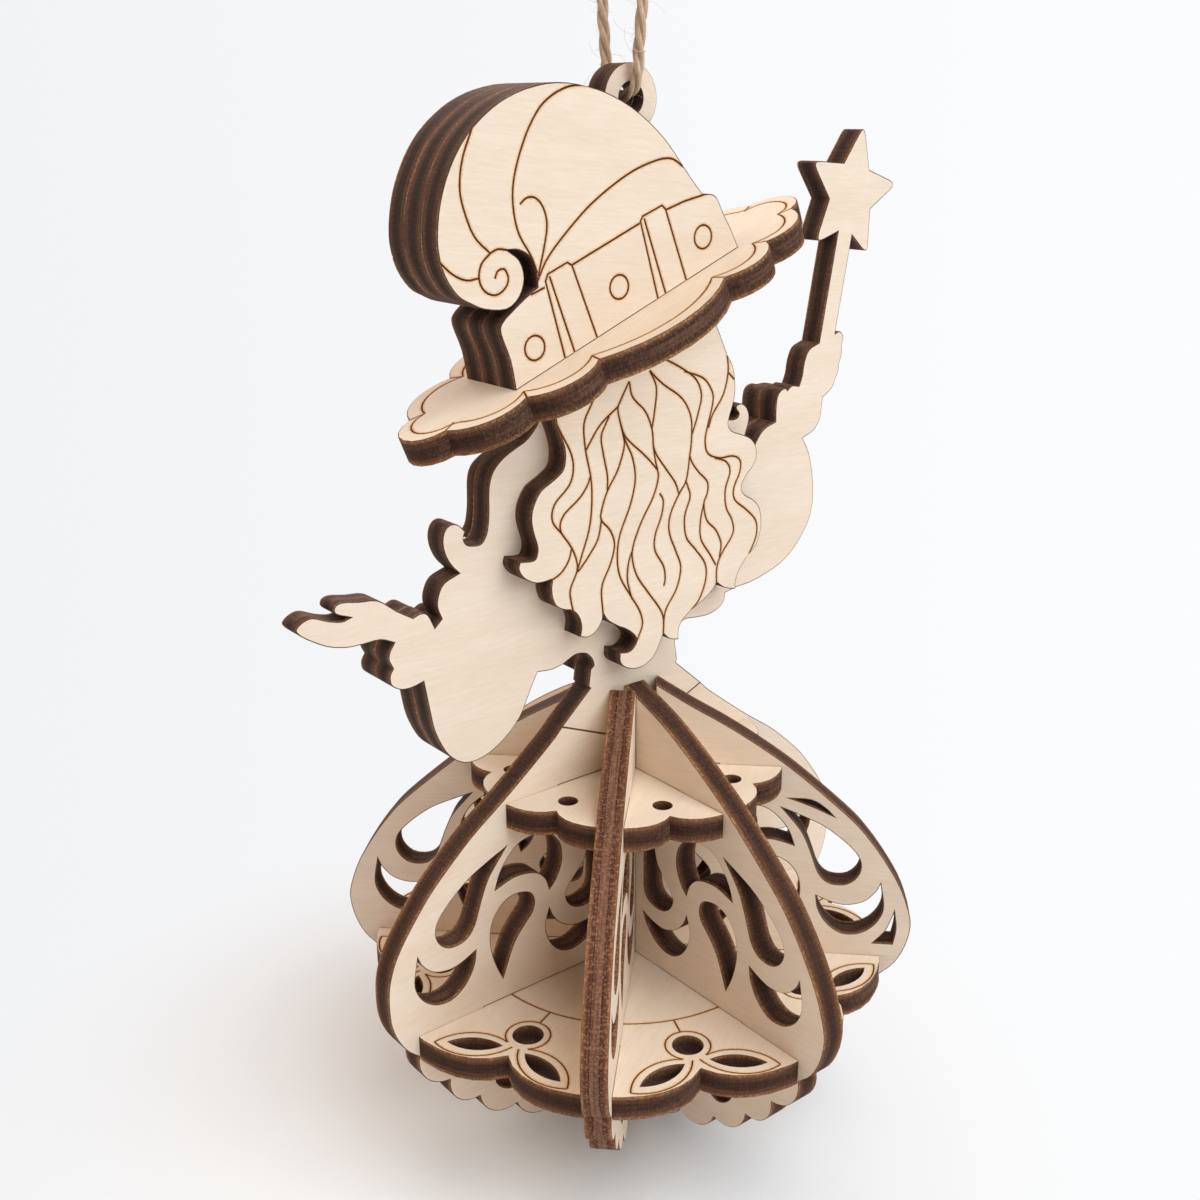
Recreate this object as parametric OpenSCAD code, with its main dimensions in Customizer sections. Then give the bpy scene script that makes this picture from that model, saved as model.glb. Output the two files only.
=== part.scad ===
// A hanging witch ornament cut from plywood sheet: a layered figure on a skirt of eight
// slotted ribs and two scalloped discs, hung from a loop of jute twine.
// The origin is the top of the twine loop, where a hook holds it. The back is +Y.

/* [Sheet] */
// Thickness of the plywood
ply_t = 3; // [2.6:0.1:3.6]
// Play of a piece in its slot, both sides together
slot_play = 0.1; // [0.05:0.05:0.3]

/* [Skirt] */
// Widest radius of the ribs
skirt_r = 35.7; // [33:0.1:40]
// Height of the rib tops above the lower disc
skirt_h = 35.2; // [33:0.1:40]
// Depth of the petticoat below the top of the lower disc
petticoat_h = 20; // [17:0.1:24]
// Drop of one petticoat scallop
scallop_h = 1.5; // [1:0.1:2]
// Slit between the inner edges of neighbouring ribs
rib_slit = 0.1; // [0.05:0.05:0.3]

/* [Discs] */
// Radius of the lower disc at its scallops
lower_disc_r = 32.2; // [30:0.1:34]
// Radius of the lower disc at its notches
lower_notch_r = 28.3; // [27.5:0.1:29.2]
// Radius where the ribs' slots and the lower disc's slots meet
lower_lap_r = 23; // [18:0.5:25]
// Diameter of the round holes in the lower disc
lower_hole_d = 3.6; // [3:0.1:4.5]
// Radius of the ring of holes in the lower disc
lower_hole_r = 24; // [22:0.1:24.4]
// Length of the leaf cut-outs in the lower disc
leaf_l = 6.5; // [5:0.1:7]
// Width of the leaf cut-outs in the lower disc
leaf_w = 2.3; // [1.8:0.1:2.8]
// Height of the upper disc's top above the lower disc's top
upper_disc_z = 25.5; // [23.5:0.1:27]
// Radius of the upper disc at its scallops
upper_disc_r = 19.2; // [17.5:0.1:20.5]
// Radius of the upper disc at its notches
upper_notch_r = 16.9; // [16:0.1:17.4]
// Radius where the ribs' slots and the upper disc's slots meet
upper_lap_r = 11.5; // [10:0.5:13]
// Diameter of the round holes in the upper disc
upper_hole_d = 2.3; // [1.5:0.1:3]
// Radius of the ring of holes in the upper disc
upper_hole_r = 14.2; // [13.4:0.1:14.8]

/* [Figure] */
// Width of the figure from the open hand to the star
figure_w = 85.5; // [78:0.5:95]
// Height of the figure from the waist to the crown of the hat
figure_h = 66.5; // [61:0.5:74]
// Width of the waist
waist_w = 13.8; // [12.6:0.1:15]
// Width of the hips, where the figure sits on the side ribs
hip_w = 21.8; // [20:0.1:24]
// Width of the tongue that goes down the middle of the skirt
tongue_w = 6.4; // [5:0.1:6.8]
// Radius of the star's points
star_r = 8.3; // [7.5:0.1:9]
// Radius of the notches between the star's points
star_notch_r = 4; // [3.5:0.1:4.5]
// Width of the wand
wand_w = 2.6; // [2:0.1:3.2]

/* [Hat] */
// Length of the brim
brim_l = 58.5; // [54:0.5:64]
// Width of the brim
brim_w = 24.2; // [22:0.1:27]
// Height of the brim's small scallops
brim_scallop_h = 2.1; // [1.5:0.1:2.6]
// Slope of the brim
brim_tilt = 21.9; // [19:0.1:25]
// Width of the head's tab through the brim
tab_w = 14; // [10:0.5:17]
// Height of the head's tab above the brim
tab_h = 9; // [6:0.5:12]
// Outer diameter of the hanging ring
ring_d = 7.1; // [6.4:0.1:8]
// Hole diameter of the hanging ring
ring_hole_d = 3.4; // [3.2:0.1:4]

/* [Twine] */
// Diameter of the jute twine
cord_d = 1.3; // [1:0.05:1.4]
// Diameter of the knot
knot_d = 4.4; // [4:0.1:6]
// Height of the knot
knot_h = 4; // [3:0.1:6]
// Length of the knot's two tails
tail_l = 6; // [4:0.5:12]

/* [Hidden] */

wood = "#ead5b3";
jute = "#b08f63";
rib_step = 45;
round_fn = 48;
curve_steps = 3;

// Half of the sheet, and where the ribs' inner edges stand
half_t = ply_t / 2;
rib_inner_r = half_t / tan(rib_step / 2) + rib_slit;
mid_inner_r = half_t + rib_slit;

// Levels over the lower disc's top, which is the skirt's own zero: the waist, and the
// hips with the seams that run down from them to the tongue
waist_rise = 1.6;
hip_drop = 2.4;
seam_drop = 3;
waist_notch = 0.25;
waist_z = skirt_h + waist_rise;
hip_r = hip_w / 2;
hip_z = skirt_h - hip_drop;
seam_z = hip_z - seam_drop;

// The figure is drawn on its sheet between these places and set to the sizes above
drawn_hand_x = 43.5;
drawn_star_x = -42;
drawn_waist_z = 36.8;
drawn_crown_z = 103.3;
scale_x = figure_w / (drawn_hand_x - drawn_star_x);
scale_z = figure_h / (drawn_crown_z - drawn_waist_z);
waist_x = waist_w / 2 / scale_x;
function on_sheet(p) = [scale_x * p[0], waist_z + scale_z * (p[1] - drawn_waist_z)];

// Places of the brim, the ring, the star and the wand's foot on the figure
drawn_brim_at = [2.25, 80];
drawn_ring_at = [0.65, 101.8];
drawn_star_at = [-34.4, 90.8];
drawn_wand_foot = [-30.7, 71];
brim_at = on_sheet(drawn_brim_at);
ring_at = on_sheet(drawn_ring_at);
star_at = on_sheet(drawn_star_at);
wand_foot = on_sheet(drawn_wand_foot);
star_turn = 101.5;
star_round = 0.27;

// The brim's notches as shares of its half length and half width
brim_notches = [[0.892, 0.281], [0.615, 0.587], [0.321, 0.736]];

// The leaf cut-outs start here, out along the middle of a sector and across it
leaf_at = [27.1, 1.45];
leaf_turn = 68.5;

// The twine's way through the ring and up to the knot, as half a loop: out from the
// ring's plane and up from the lowest point
loop_half = [
    [0, 0], [1, 0.2], [1.85, 0.75], [2.4, 1.6], [2.6, 2.6], [2.8, 5], [3.1, 7.5], [3.35, 10.5],
    [3.35, 13.5], [2.95, 16.5], [2.25, 19.5], [1.5, 22], [1, 23.6], [0.9, 24.6], [0.9, 25.4]
];
loop_drop = 0.2;
hook_h = 22;
cord_sides = 8;
loop_foot_z = ring_at[1] + loop_drop;
hook_z = loop_foot_z + hook_h;

// Points along one smooth stretch through p, without its last point
function stretch(p) = [
    for (i = [0 : len(p) - 2])
        let (
            a = i == 0 ? 2 * p[0] - p[1] : p[i - 1],
            d = i == len(p) - 2 ? 2 * p[i + 1] - p[i] : p[i + 2],
            m = (p[i + 1] - a) / 2,
            s = (d - p[i]) / 2,
            e = p[i + 1] - p[i]
        )
        for (k = [0 : curve_steps - 1])
            let (t = k / curve_steps)
            p[i] + t * (m + t * (3 * e - 2 * m - s + t * (m + s - 2 * e)))
];

// A closed outline from stretches that meet at corners: each starts where the last one
// ends, and one of two points is straight
function outline(parts) = [for (p = parts) each (len(p) == 2 ? [p[0]] : stretch(p))];
function drawn(parts) = outline([for (p = parts) [for (q = p) on_sheet(q)]]);

// Points of an arc from a to b that bulges by sag to the left of the way, without b
function scallop(a, b, sag, n = 8) =
    let (
        half = norm(b - a) / 2,
        r = (half * half + sag * sag) / (2 * sag),
        way = (b - a) / (2 * half),
        side = [-way[1], way[0]],
        middle = (a + b) / 2 + (sag - r) * side,
        open = sag > half ? 360 - 2 * asin(half / r) : 2 * asin(half / r)
    )
    [for (i = [0 : n - 1])
        let (turn = open * (i / n - 0.5))
        middle + r * (cos(turn) * side + sin(turn) * way)];

// Half a scallop of a disc, from its tip on the X axis to its notch
function lobe_half(tip, notch, n = 6) =
    let (
        end = notch * [cos(rib_step / 2), sin(rib_step / 2)],
        p1 = [tip, 0.51 * end[1]],
        p2 = [end[0] + 0.67 * (tip - end[0]), 0.89 * end[1]]
    )
    [for (i = [0 : n])
        let (t = i / n, s = 1 - t)
        s * s * s * [tip, 0] + 3 * s * s * t * p1 + 3 * s * t * t * p2 + t * t * t * end];

// A flat piece of sheet that stands upright: drawn in X and Z, from y0 towards the back
module sheet_at(y0) {
    translate([0, y0 + ply_t, 0])
        rotate([90, 0, 0])
            linear_extrude(ply_t)
                children();
}

// Everything is drawn over the skirt's zero and hung below the hook
module hung() {
    translate([-ring_at[0], 0, -hook_z])
        children();
}

// The figure's plane from a level along the brim's slope up, or down
module beyond_brim(level, up) {
    reach = 2 * figure_w;
    translate(brim_at)
        rotate(-brim_tilt)
            translate([-reach / 2, up ? level : level - reach])
                square(reach);
}

module tab_outline(play) {
    translate(brim_at)
        rotate(-brim_tilt)
            translate([-(tab_w + play) / 2, -2 * ply_t])
                square([tab_w + play, 2 * ply_t + tab_h + play / 2]);
}

// The body from the waist round by the open hand, the head and the wand's hand
body_line = [
    [[waist_x, drawn_waist_z], [6.6, 38.9]],
    [[6.6, 38.9], [6.1, 39.3]],
    [[6.1, 39.3], [6.35, 40.1], [7.2, 41], [8.6, 41.3], [9.6, 41], [10.8, 40.5], [12.4, 40.3], [14.2, 40.5]],
    [[14.2, 40.5], [14.9, 39.3], [15.9, 37.3], [16.8, 35.7], [18.4, 34.1], [20.6, 32.7], [22.7, 32.1],
        [24.5, 32.3], [25.9, 33.2], [27, 34.6], [28.1, 37.1], [28.6, 39.6], [29.2, 43.2]],
    [[29.2, 43.2], [30.6, 42.9], [32, 43], [33.1, 43.75], [33.25, 44.8], [32.8, 45.6]],
    [[32.8, 45.6], [33.25, 46.6], [33.1, 47.5], [32.5, 48.4]],
    [[32.5, 48.4], [34.1, 49.1], [36.3, 49.1], [38.1, 49.2], [40.2, 49.8], [42.4, 51.1], [43.4, 52],
        [43.4, 52.5], [42.7, 53], [41.6, 53.2], [39.9, 52.5], [38.4, 52.1], [37.4, 52.3]],
    [[37.4, 52.3], [39, 53], [39.1, 53.75], [38.25, 54.1], [36.3, 53.75], [34.1, 53.4], [32, 51.8], [30.1, 50.6]],
    [[30.1, 50.6], [29.1, 50.9], [28.25, 50.5], [27.5, 48.9]],
    [[27.5, 48.9], [26.6, 49.7]],
    [[26.6, 49.7], [27.1, 51.1], [26.9, 52.4], [26.1, 53.6], [24.2, 54.3]],
    [[24.2, 54.3], [25.2, 55.4], [25.9, 56.8], [26.1, 58.2], [25.75, 59.3], [25, 59.8], [24.1, 59.6], [23.25, 58.75]],
    [[23.25, 58.75], [23.5, 58], [23.2, 57.3], [22.4, 57], [21.3, 57], [20.6, 57.9], [20.3, 59.3], [20.2, 60.7],
        [20.1, 62.9], [19.5, 64.6], [18.1, 65.9], [16.3, 66.8], [14.9, 67.5], [13.4, 69.2], [12.8, 71.5], [12.5, 74]],
    [[12.5, 74], [-9.5, 83]],
    [[-9.5, 83], [-10.2, 79], [-11.2, 75.5], [-12, 72], [-12.2, 68.6], [-12.6, 66.7], [-13.6, 65.8],
        [-14.7, 65.6], [-15.5, 65.5], [-16.15, 65.7], [-16.3, 66.15], [-15.95, 66.55], [-15.8, 66.95],
        [-16.1, 67.2], [-16.8, 67.25], [-17.5, 66.75], [-17.95, 65.95], [-18, 65.1], [-17.75, 64.2],
        [-17.4, 63.2], [-17.4, 62.2], [-18, 61.5], [-18.9, 61.6], [-19.6, 62.6], [-20.7, 63.65], [-22.6, 64.25]],
    [[-22.6, 64.25], [-22.6, 66.5], [-23, 67.75], [-24, 68.25], [-24.5, 67.9]],
    [[-24.5, 67.9], [-25.25, 68.4], [-26.5, 68.2]],
    [[-26.5, 68.2], [-27, 69.5], [-27.25, 71], [-28, 72.5], [-29.65, 73.15]],
    [[-29.65, 73.15], [-32.4, 74]],
    [[-32.4, 74], [-33.5, 74.25], [-34.15, 73.5], [-33.9, 72.5]],
    [[-33.9, 72.5], [-34, 71.4], [-33.6, 70.2]],
    [[-33.6, 70.2], [-33.5, 69.2], [-33, 68.3]],
    [[-33, 68.3], [-32.5, 67.25], [-30.9, 66.25]],
    [[-30.9, 66.25], [-30.75, 65], [-30.5, 63.5], [-29.5, 62.25], [-27.5, 61.5]],
    [[-27.5, 61.5], [-28.75, 59.5], [-29.6, 56.5], [-29.9, 54], [-29.75, 52], [-29, 50], [-27, 47.5],
        [-24.5, 45.75], [-21.5, 44.75], [-19, 44.25], [-16.75, 44.1], [-14.75, 43.75]],
    [[-14.75, 43.75], [-14.6, 42.8], [-13.75, 42], [-12, 41.5], [-10, 41.6], [-8, 41.75], [-7.15, 41], [-6.5, 39.25]],
    [[-6.5, 39.25], [-waist_x, drawn_waist_z]]
];

// The figure's core: body, arms, head and wand in one sheet. From the waist it goes out
// along the hips, in along the seams on the side ribs and down the tongue
module body_outline() {
    side = [
        [waist_w / 2, waist_z],
        [waist_w / 2 - waist_notch, waist_z - waist_notch],
        [hip_r, hip_z],
        [rib_inner_r, seam_z],
        [tongue_w / 2, seam_z],
        [tongue_w / 2, -ply_t]
    ];
    upper = drawn(body_line);
    polygon([each upper, for (i = [0 : len(side) - 1]) [-side[i][0], side[i][1]],
        for (i = [len(side) - 1 : -1 : 1]) side[i]]);
}

// A star with round tips
module star_outline() {
    corner = [for (i = [0 : 9])
        let (r = i % 2 == 0 ? star_r : star_notch_r)
        star_at + r * [cos(star_turn + 36 * i), sin(star_turn + 36 * i)]];
    polygon([for (i = [0 : 9])
        let (b = corner[i], p = star_round * (corner[(i + 9) % 10] - b), q = star_round * (corner[(i + 1) % 10] - b))
        each (i % 2 == 1 ? [b] : [for (t = [0 : 0.25 : 1]) b + (1 - t) * (1 - t) * p + t * t * q])]);
}

module wand_outline() {
    way = star_at - wand_foot;
    translate(wand_foot)
        rotate(atan2(way[1], way[0]))
            translate([0, -wand_w / 2])
                square([norm(way), wand_w]);
}

module figure_core() {
    color(wood)
        hung()
            sheet_at(-half_t) {
                difference() {
                    body_outline();
                    beyond_brim(-ply_t, true);
                }
                tab_outline(0);
                wand_outline();
                star_outline();
            }
}

// The hat from its left corner on the brim over the crown to its right corner
hat_line = [
    [[18.1, 72], [18.4, 73.5], [19, 76.6], [20.1, 79.4], [19.9, 80.5], [18.6, 81.6], [16.9, 82.8], [15.4, 83.7]],
    [[15.4, 83.7], [15.5, 85.1], [16.1, 86.6], [17.6, 87.5], [19.1, 87.6]],
    [[19.1, 87.6], [17.6, 86.5], [17.05, 84.7], [17.7, 82.9], [19.3, 81.8], [21.9, 82], [23.6, 82.7],
        [25.1, 83.6], [26.5, 85.6], [27.15, 88.1], [27.05, 90.6], [26.5, 93.1], [25.45, 95.6], [24, 97.85],
        [22.1, 99.75], [19.5, 101.5], [16.4, 102.7], [12.6, 103.3], [8.6, 102.9], [5.4, 102], [1.9, 100.3], [-1.7, 97.6], [-5.3, 93.7],
        [-7.1, 91.9]],
    [[-7.1, 91.9], [-8.3, 91.9], [-9.2, 91.4], [-10.3, 89.6], [-11.4, 88], [-12.6, 85.9], [-13.6, 84]],
    [[-13.6, 84], [18.1, 72]]
];

// The hat: three layers of one outline on the brim, the middle one with the ring
module hat_outline() {
    difference() {
        polygon(drawn(hat_line));
        beyond_brim(0, false);
    }
}

module hat_core() {
    color(wood)
        hung()
            sheet_at(-half_t)
                difference() {
                    union() {
                        hat_outline();
                        translate(ring_at)
                            circle(d = ring_d, $fn = round_fn);
                    }
                    tab_outline(slot_play);
                    translate(ring_at)
                        circle(d = ring_hole_d, $fn = round_fn);
                }
}

module hat_back() {
    color(wood)
        hung()
            sheet_at(half_t)
                hat_outline();
}

module hat_front() {
    color(wood)
        hung()
            sheet_at(-half_t - ply_t)
                hat_outline();
}

// The brim's scallops run from one end along a long side, and the same turned round
module brim_outline() {
    half = [brim_l / 2, brim_w / 2];
    function notch(i, sx, sy) = [sx * brim_notches[i][0] * half[0], sy * brim_notches[i][1] * half[1]];
    side = [
        each scallop(notch(0, 1, 1), notch(0, 1, -1), (1 - brim_notches[0][0]) * half[0]),
        each scallop(notch(0, 1, -1), notch(1, 1, -1), brim_scallop_h),
        each scallop(notch(1, 1, -1), notch(2, 1, -1), brim_scallop_h),
        each scallop(notch(2, 1, -1), notch(2, -1, -1), (1 - brim_notches[2][1]) * half[1]),
        each scallop(notch(2, -1, -1), notch(1, -1, -1), brim_scallop_h),
        each scallop(notch(1, -1, -1), notch(0, -1, -1), brim_scallop_h)
    ];
    polygon([each side, for (p = side) -p]);
}

module hat_brim() {
    color(wood)
        hung()
            translate([brim_at[0], 0, brim_at[1]])
                rotate([0, brim_tilt, 0])
                    translate([0, 0, -ply_t])
                        linear_extrude(ply_t)
                            difference() {
                                brim_outline();
                                square([tab_w + slot_play, ply_t + slot_play], center = true);
                            }
}

// The hair behind the head, down its left side and up its right
hair_back_line = [
    [[13.9, 73.5], [13.3, 69.7], [12.8, 68.3], [12.25, 66.6], [12.2, 65.2], [12.6, 64.1], [13.9, 63.25],
        [15.5, 62.4], [16.5, 60.9], [16.8, 59.5], [16.6, 58.1], [16.1, 56.5], [16.1, 55.6],
        [16.6, 54.9], [18.4, 55.1]],
    [[18.4, 55.1], [18.6, 54.3], [18, 53.25], [16.7, 52.4], [15.5, 52.2], [14.1, 52.3]],
    [[14.1, 52.3], [14.3, 51.3], [14.2, 50.2], [13.7, 49.1], [12.6, 48.4], [11.5, 48.1], [10.6, 47.2],
        [10.2, 45.9], [10.4, 44.7]],
    [[10.4, 44.7], [9.2, 44.4], [8, 44.9], [7.25, 45.9], [7.1, 46.8]],
    [[7.1, 46.8], [6.4, 45.75], [4.9, 44.7], [3.9, 44.2], [2.8, 43.4], [2.1, 42.5], [2.4, 41.7],
        [3.3, 41.2], [4.6, 41.4]],
    [[4.6, 41.4], [4.6, 40.2], [3.7, 39.3], [2.1, 38.8], [0.6, 39], [-0.8, 40], [-2, 42.2]],
    [[-2, 42.2], [-3, 41.3], [-4.4, 40.9]],
    [[-4.4, 40.9], [-4.4, 42], [-4.9, 43.1], [-6.3, 44.1], [-8.3, 45], [-9.7, 45.9], [-10.4, 46.8]],
    [[-10.4, 46.8], [-11.8, 45.8], [-13.6, 45.3]],
    [[-13.6, 45.3], [-13.6, 46.3], [-14.2, 47.7], [-15.4, 49], [-16.9, 50.2], [-17.6, 52], [-17.6, 53.8],
        [-17.1, 55.2], [-16, 56.2], [-14.8, 56.9], [-14.2, 57.6], [-14.25, 58.4], [-14.9, 59.3],
        [-15.9, 60.2], [-16.45, 61.1], [-16.5, 62], [-16.2, 62.9], [-15.4, 63.75], [-14, 64.4], [-12.4, 65],
        [-11.75, 65.8], [-11.85, 66.7], [-12.3, 67.9], [-12.7, 69.4], [-12.6, 71.2], [-12.2, 72.7],
        [-11.3, 74.1], [-10.1, 76.5], [-9.2, 78.4], [-8.4, 82]],
    [[-8.4, 82], [13.9, 73.5]]
];

// The hair: a layer of wavy locks behind the head and one round the face
module hair_back() {
    color(wood)
        hung()
            sheet_at(half_t)
                difference() {
                    polygon(drawn(hair_back_line));
                    beyond_brim(-ply_t, true);
                }
}

// The hair round the face, down its left side and up its right
hair_front_line = [
    [[11.3, 74], [12.3, 68.9], [14.2, 66.5], [15.7, 65.7], [17.3, 64.9], [18.4, 64], [18.9, 62.7],
        [19, 60.7], [19.1, 59.2], [19.5, 57.5], [20.5, 56.6]],
    [[20.5, 56.6], [18.8, 56.3], [16.4, 56.9], [14.4, 58.3], [13.3, 60.4]],
    [[13.3, 60.4], [12.8, 58.6], [13.3, 56.7]],
    [[13.3, 56.7], [11.7, 57.6], [11, 59.6], [11.3, 62], [11, 64.4], [9.4, 66.6], [7, 68.2],
        [4.2, 69.8], [2.2, 71.8]],
    [[2.2, 71.8], [0.6, 69.4], [-2.2, 68], [-5, 66.8], [-6.9, 64.9], [-7.6, 62.4], [-7.2, 60],
        [-7.8, 58.2], [-9.6, 57.4]],
    [[-9.6, 57.4], [-9.3, 59], [-9.6, 60.6]],
    [[-9.6, 60.6], [-10.6, 58.6], [-12.4, 57.4], [-14.6, 57.6]],
    [[-14.6, 57.6], [-13.7, 58.8], [-13.9, 60.6], [-14.4, 62.4], [-13.8, 64.4], [-12.4, 66],
        [-12, 68.4], [-12, 72], [-11.2, 75.5], [-10.2, 79], [-9.5, 83]],
    [[-9.5, 83], [11.3, 74]]
];

module hair_front() {
    color(wood)
        hung()
            sheet_at(-half_t - ply_t)
                difference() {
                    polygon(drawn(hair_front_line));
                    beyond_brim(-ply_t, true);
                }
}

// The bodice from the waist's left corner round by the neckline
bodice_line = [
    [[6.1, 37.6], [6.2, 40.2], [8, 43.2], [9.8, 46.8], [10.2, 50.2], [8.8, 52.4]],
    [[8.8, 52.4], [6, 50.6], [3, 48.9], [0, 48.3], [-3, 48.9], [-6, 50.6], [-8.8, 52.4]],
    [[-8.8, 52.4], [-10.2, 50.2], [-9.8, 46.8], [-8, 43.2], [-6.2, 40.2], [-6.1, 37.6]],
    [[-6.1, 37.6], [-3.4, 37], [0, 36.8], [3.4, 37], [6.1, 37.6]]
];

// The front layers of the dress
module bodice_front() {
    color(wood)
        hung()
            sheet_at(-half_t - ply_t)
                polygon(drawn(bodice_line));
}

// The left sleeve from the shoulder along the top to the cuff
sleeve_left_line = [
    [[12.8, 53.6], [15.4, 54.6], [18.2, 54], [20.6, 52.3], [22.4, 50.7], [24, 49.3]],
    [[24, 49.3], [24.9, 49.6], [25.7, 49.65], [26.4, 49.3]],
    [[26.4, 49.3], [27.5, 48.9]],
    [[27.5, 48.9], [28.2, 50.4], [29.1, 50.85], [30.1, 50.5]],
    [[30.1, 50.5], [31.5, 49.7], [32.5, 48.4]],
    [[32.5, 48.4], [33.1, 47.5], [33.25, 46.6], [32.8, 45.6]],
    [[32.8, 45.6], [33.25, 44.8], [33.1, 43.75], [32, 43], [30.6, 42.9], [29.2, 43.2]],
    [[29.2, 43.2], [28.6, 39.6], [28.1, 37.1], [27, 34.6], [25.9, 33.2], [24.5, 32.3], [22.7, 32.1],
        [20.6, 32.7], [18.5, 34.2], [16.9, 36], [15.8, 38.4], [14.5, 41.2], [13.1, 44], [12.2, 47], [12, 50.4],
        [12.8, 53.6]]
];

module sleeve_left_front() {
    color(wood)
        hung()
            sheet_at(-half_t - ply_t)
                polygon(drawn(sleeve_left_line));
}

// The right sleeve from the shoulder along the top to the cuff
sleeve_right_line = [
    [[-16.9, 60.2], [-18.4, 61.6], [-20.2, 63.5], [-22.6, 64.2]],
    [[-22.6, 64.2], [-22.6, 66.4], [-23, 67.6], [-24, 68], [-25, 67.8]],
    [[-25, 67.8], [-26.6, 67.8], [-28.6, 67.2], [-30.8, 66.1]],
    [[-30.8, 66.1], [-30.6, 64.8], [-30.2, 63.5], [-29.4, 62.5], [-27.6, 61.5]],
    [[-27.6, 61.5], [-28.4, 59.4], [-29, 56.6], [-29.2, 54], [-28.5, 51], [-26.7, 48.4], [-24.3, 46.6],
        [-21.3, 45.5], [-18.4, 45.1], [-16.3, 46.4], [-15.6, 50], [-15.9, 55], [-16.9, 60.2]]
];

module sleeve_right_front() {
    color(wood)
        hung()
            sheet_at(-half_t - ply_t)
                polygon(drawn(sleeve_right_line));
}

// The ribs: one outline for all but their tops, drawn out from the axis and up from the
// lower disc, with scroll cut-outs and a scalloped petticoat
drawn_rib_r = 35.7;
drawn_rib_h = 35.2;
drawn_hem = 20;
function on_rib(p) = [
    skirt_r / drawn_rib_r * p[0],
    p[1] * (p[1] > 0 ? skirt_h / drawn_rib_h : petticoat_h / drawn_hem)
];
function rib_drawn(parts) = outline([for (p = parts) [for (q = p) on_rib(q)]]);

// The tops stand this much over the skirt's height where they meet the waist
rib_rise = 0.4;
rib_crest = [[8, 33], [12, 30.8], [16, 28.3], [20, 25.5], [24, 22.2]];
side_crest = [[12, 31.7], [14, 30.1], [17, 27.8], [20, 25.6], [24, 22.8]];
rib_belly = [[28, 18.6], [30, 16.3], [32, 13.5], [34, 10.1], [35.2, 7], [35.7, 4.5], [35.2, 1.6], [34, -0.9],
    [32.2, -2.7]];
side_belly = [[28, 19.3], [30, 17.3], [32, 14.8], [33.5, 12.7], [34.5, 11], [35.2, 9.2], [35.6, 7.4], [35.7, 5.4],
    [35.6, 3.3], [35.2, 1.6], [34.5, 0], [33.5, -1.5], [32.2, -2.7]];
hem_notches = [[32.2, -2.7], [28.2, -7.8], [24.1, -12.1], [18.7, -15.8], [12.5, -18.6], [6, -19.8]];

rib_cuts = [
    [[[19.3, 20], [22, 18.9], [24.5, 17.7], [27, 15.8], [28.7, 14], [29.2, 12.4], [28.8, 11], [27.7, 10], [26.3, 9.8],
        [25, 10.2], [24, 11.4], [23.3, 13.3], [22.6, 15.2], [21.6, 17.2], [19.3, 20]]],
    [[[23.9, 8.1], [24.2, 6.3], [25.2, 4.5], [26.6, 3.3], [28, 2.9], [29.6, 3.2], [31, 4.2], [31.9, 5.6], [32.2, 7.2],
            [31.7, 10.1]],
        [[31.7, 10.1], [31.2, 9], [30, 7.7], [28.5, 7.1], [27, 7], [25.5, 7.4], [23.9, 8.1]]],
    [[[20.2, 2.9], [21.1, 5], [21.7, 7.3], [21.8, 9.2], [21.4, 11], [20.3, 12.5], [18.8, 13.3], [17.3, 13.3],
        [15.9, 12.7], [15.4, 11.5], [15.7, 10.2], [16.7, 9.1], [17.8, 7.9], [18.8, 6.3], [20.2, 2.9]]],
    [[[13.1, 12.3], [12.1, 13.4], [11.3, 15.3], [11.4, 17.5], [12.3, 19], [13.4, 19.9], [15.3, 20.2], [17.3, 19.9],
            [19, 18.6], [20.2, 16.9], [20.9, 15]],
        [[20.9, 15], [18.4, 15.7], [16.4, 15.6], [14.7, 15], [13.6, 13.8], [13.1, 12.3]]],
    [[[6.5, 19], [5.6, 16.6], [5.3, 14.5], [5.3, 12], [5.4, 9.8], [6, 8.7], [7.4, 8.2], [8.9, 8.3], [10.1, 9.1],
        [10.7, 10.3], [10.4, 11.4], [9.2, 12.8], [8, 14], [7.4, 15.5], [6.5, 19]]],
    [[[5.2, 6.6], [6, 5], [7.5, 3.5], [9.3, 2.8], [11, 3], [12.4, 4], [13.4, 5.6], [13.8, 7.5], [13.2, 9.6]],
        [[13.2, 9.6], [12.7, 8.4], [11.7, 7.1], [10.3, 6.2], [8.8, 5.8], [7, 6], [5.2, 6.6]]],
    [[[19, -6.5], [17.6, -9.4], [17.2, -11.6], [18.2, -12.9], [19.6, -13.1], [21, -12.2], [21.7, -10.8], [21, -8.8],
        [19, -6.5]]]
];
// Two small leaves that the right-hand back rib has as well
rib_leaves = [
    [[[20.3, 21.3], [22.8, 21.2], [24.5, 20.2], [25.5, 19.2]],
        [[25.5, 19.2], [23.5, 20.1], [22, 20.7], [20.3, 21.3]]],
    [[[33.6, 6.3], [33.9, 4], [33.6, 1.8]],
        [[33.6, 1.8], [31.2, 1.8]],
        [[31.2, 1.8], [32.6, 3.5], [33.2, 5], [33.6, 6.3]]]
];

module rib_slots() {
    for (lap = [[0, lower_lap_r], [upper_disc_z, upper_lap_r]])
        translate([0, lap[0] - ply_t - slot_play / 2])
            square([lap[1], ply_t + slot_play]);
}

module rib_outline(inner, top, cuts) {
    hem = [for (p = hem_notches) on_rib(p)];
    difference() {
        polygon([
            each top,
            for (i = [0 : len(hem) - 2]) each scallop(hem[i], hem[i + 1], scallop_h),
            hem[len(hem) - 1],
            [inner, -petticoat_h]
        ]);
        for (c = cuts)
            polygon(rib_drawn(c));
        rib_slots();
    }
}

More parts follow.
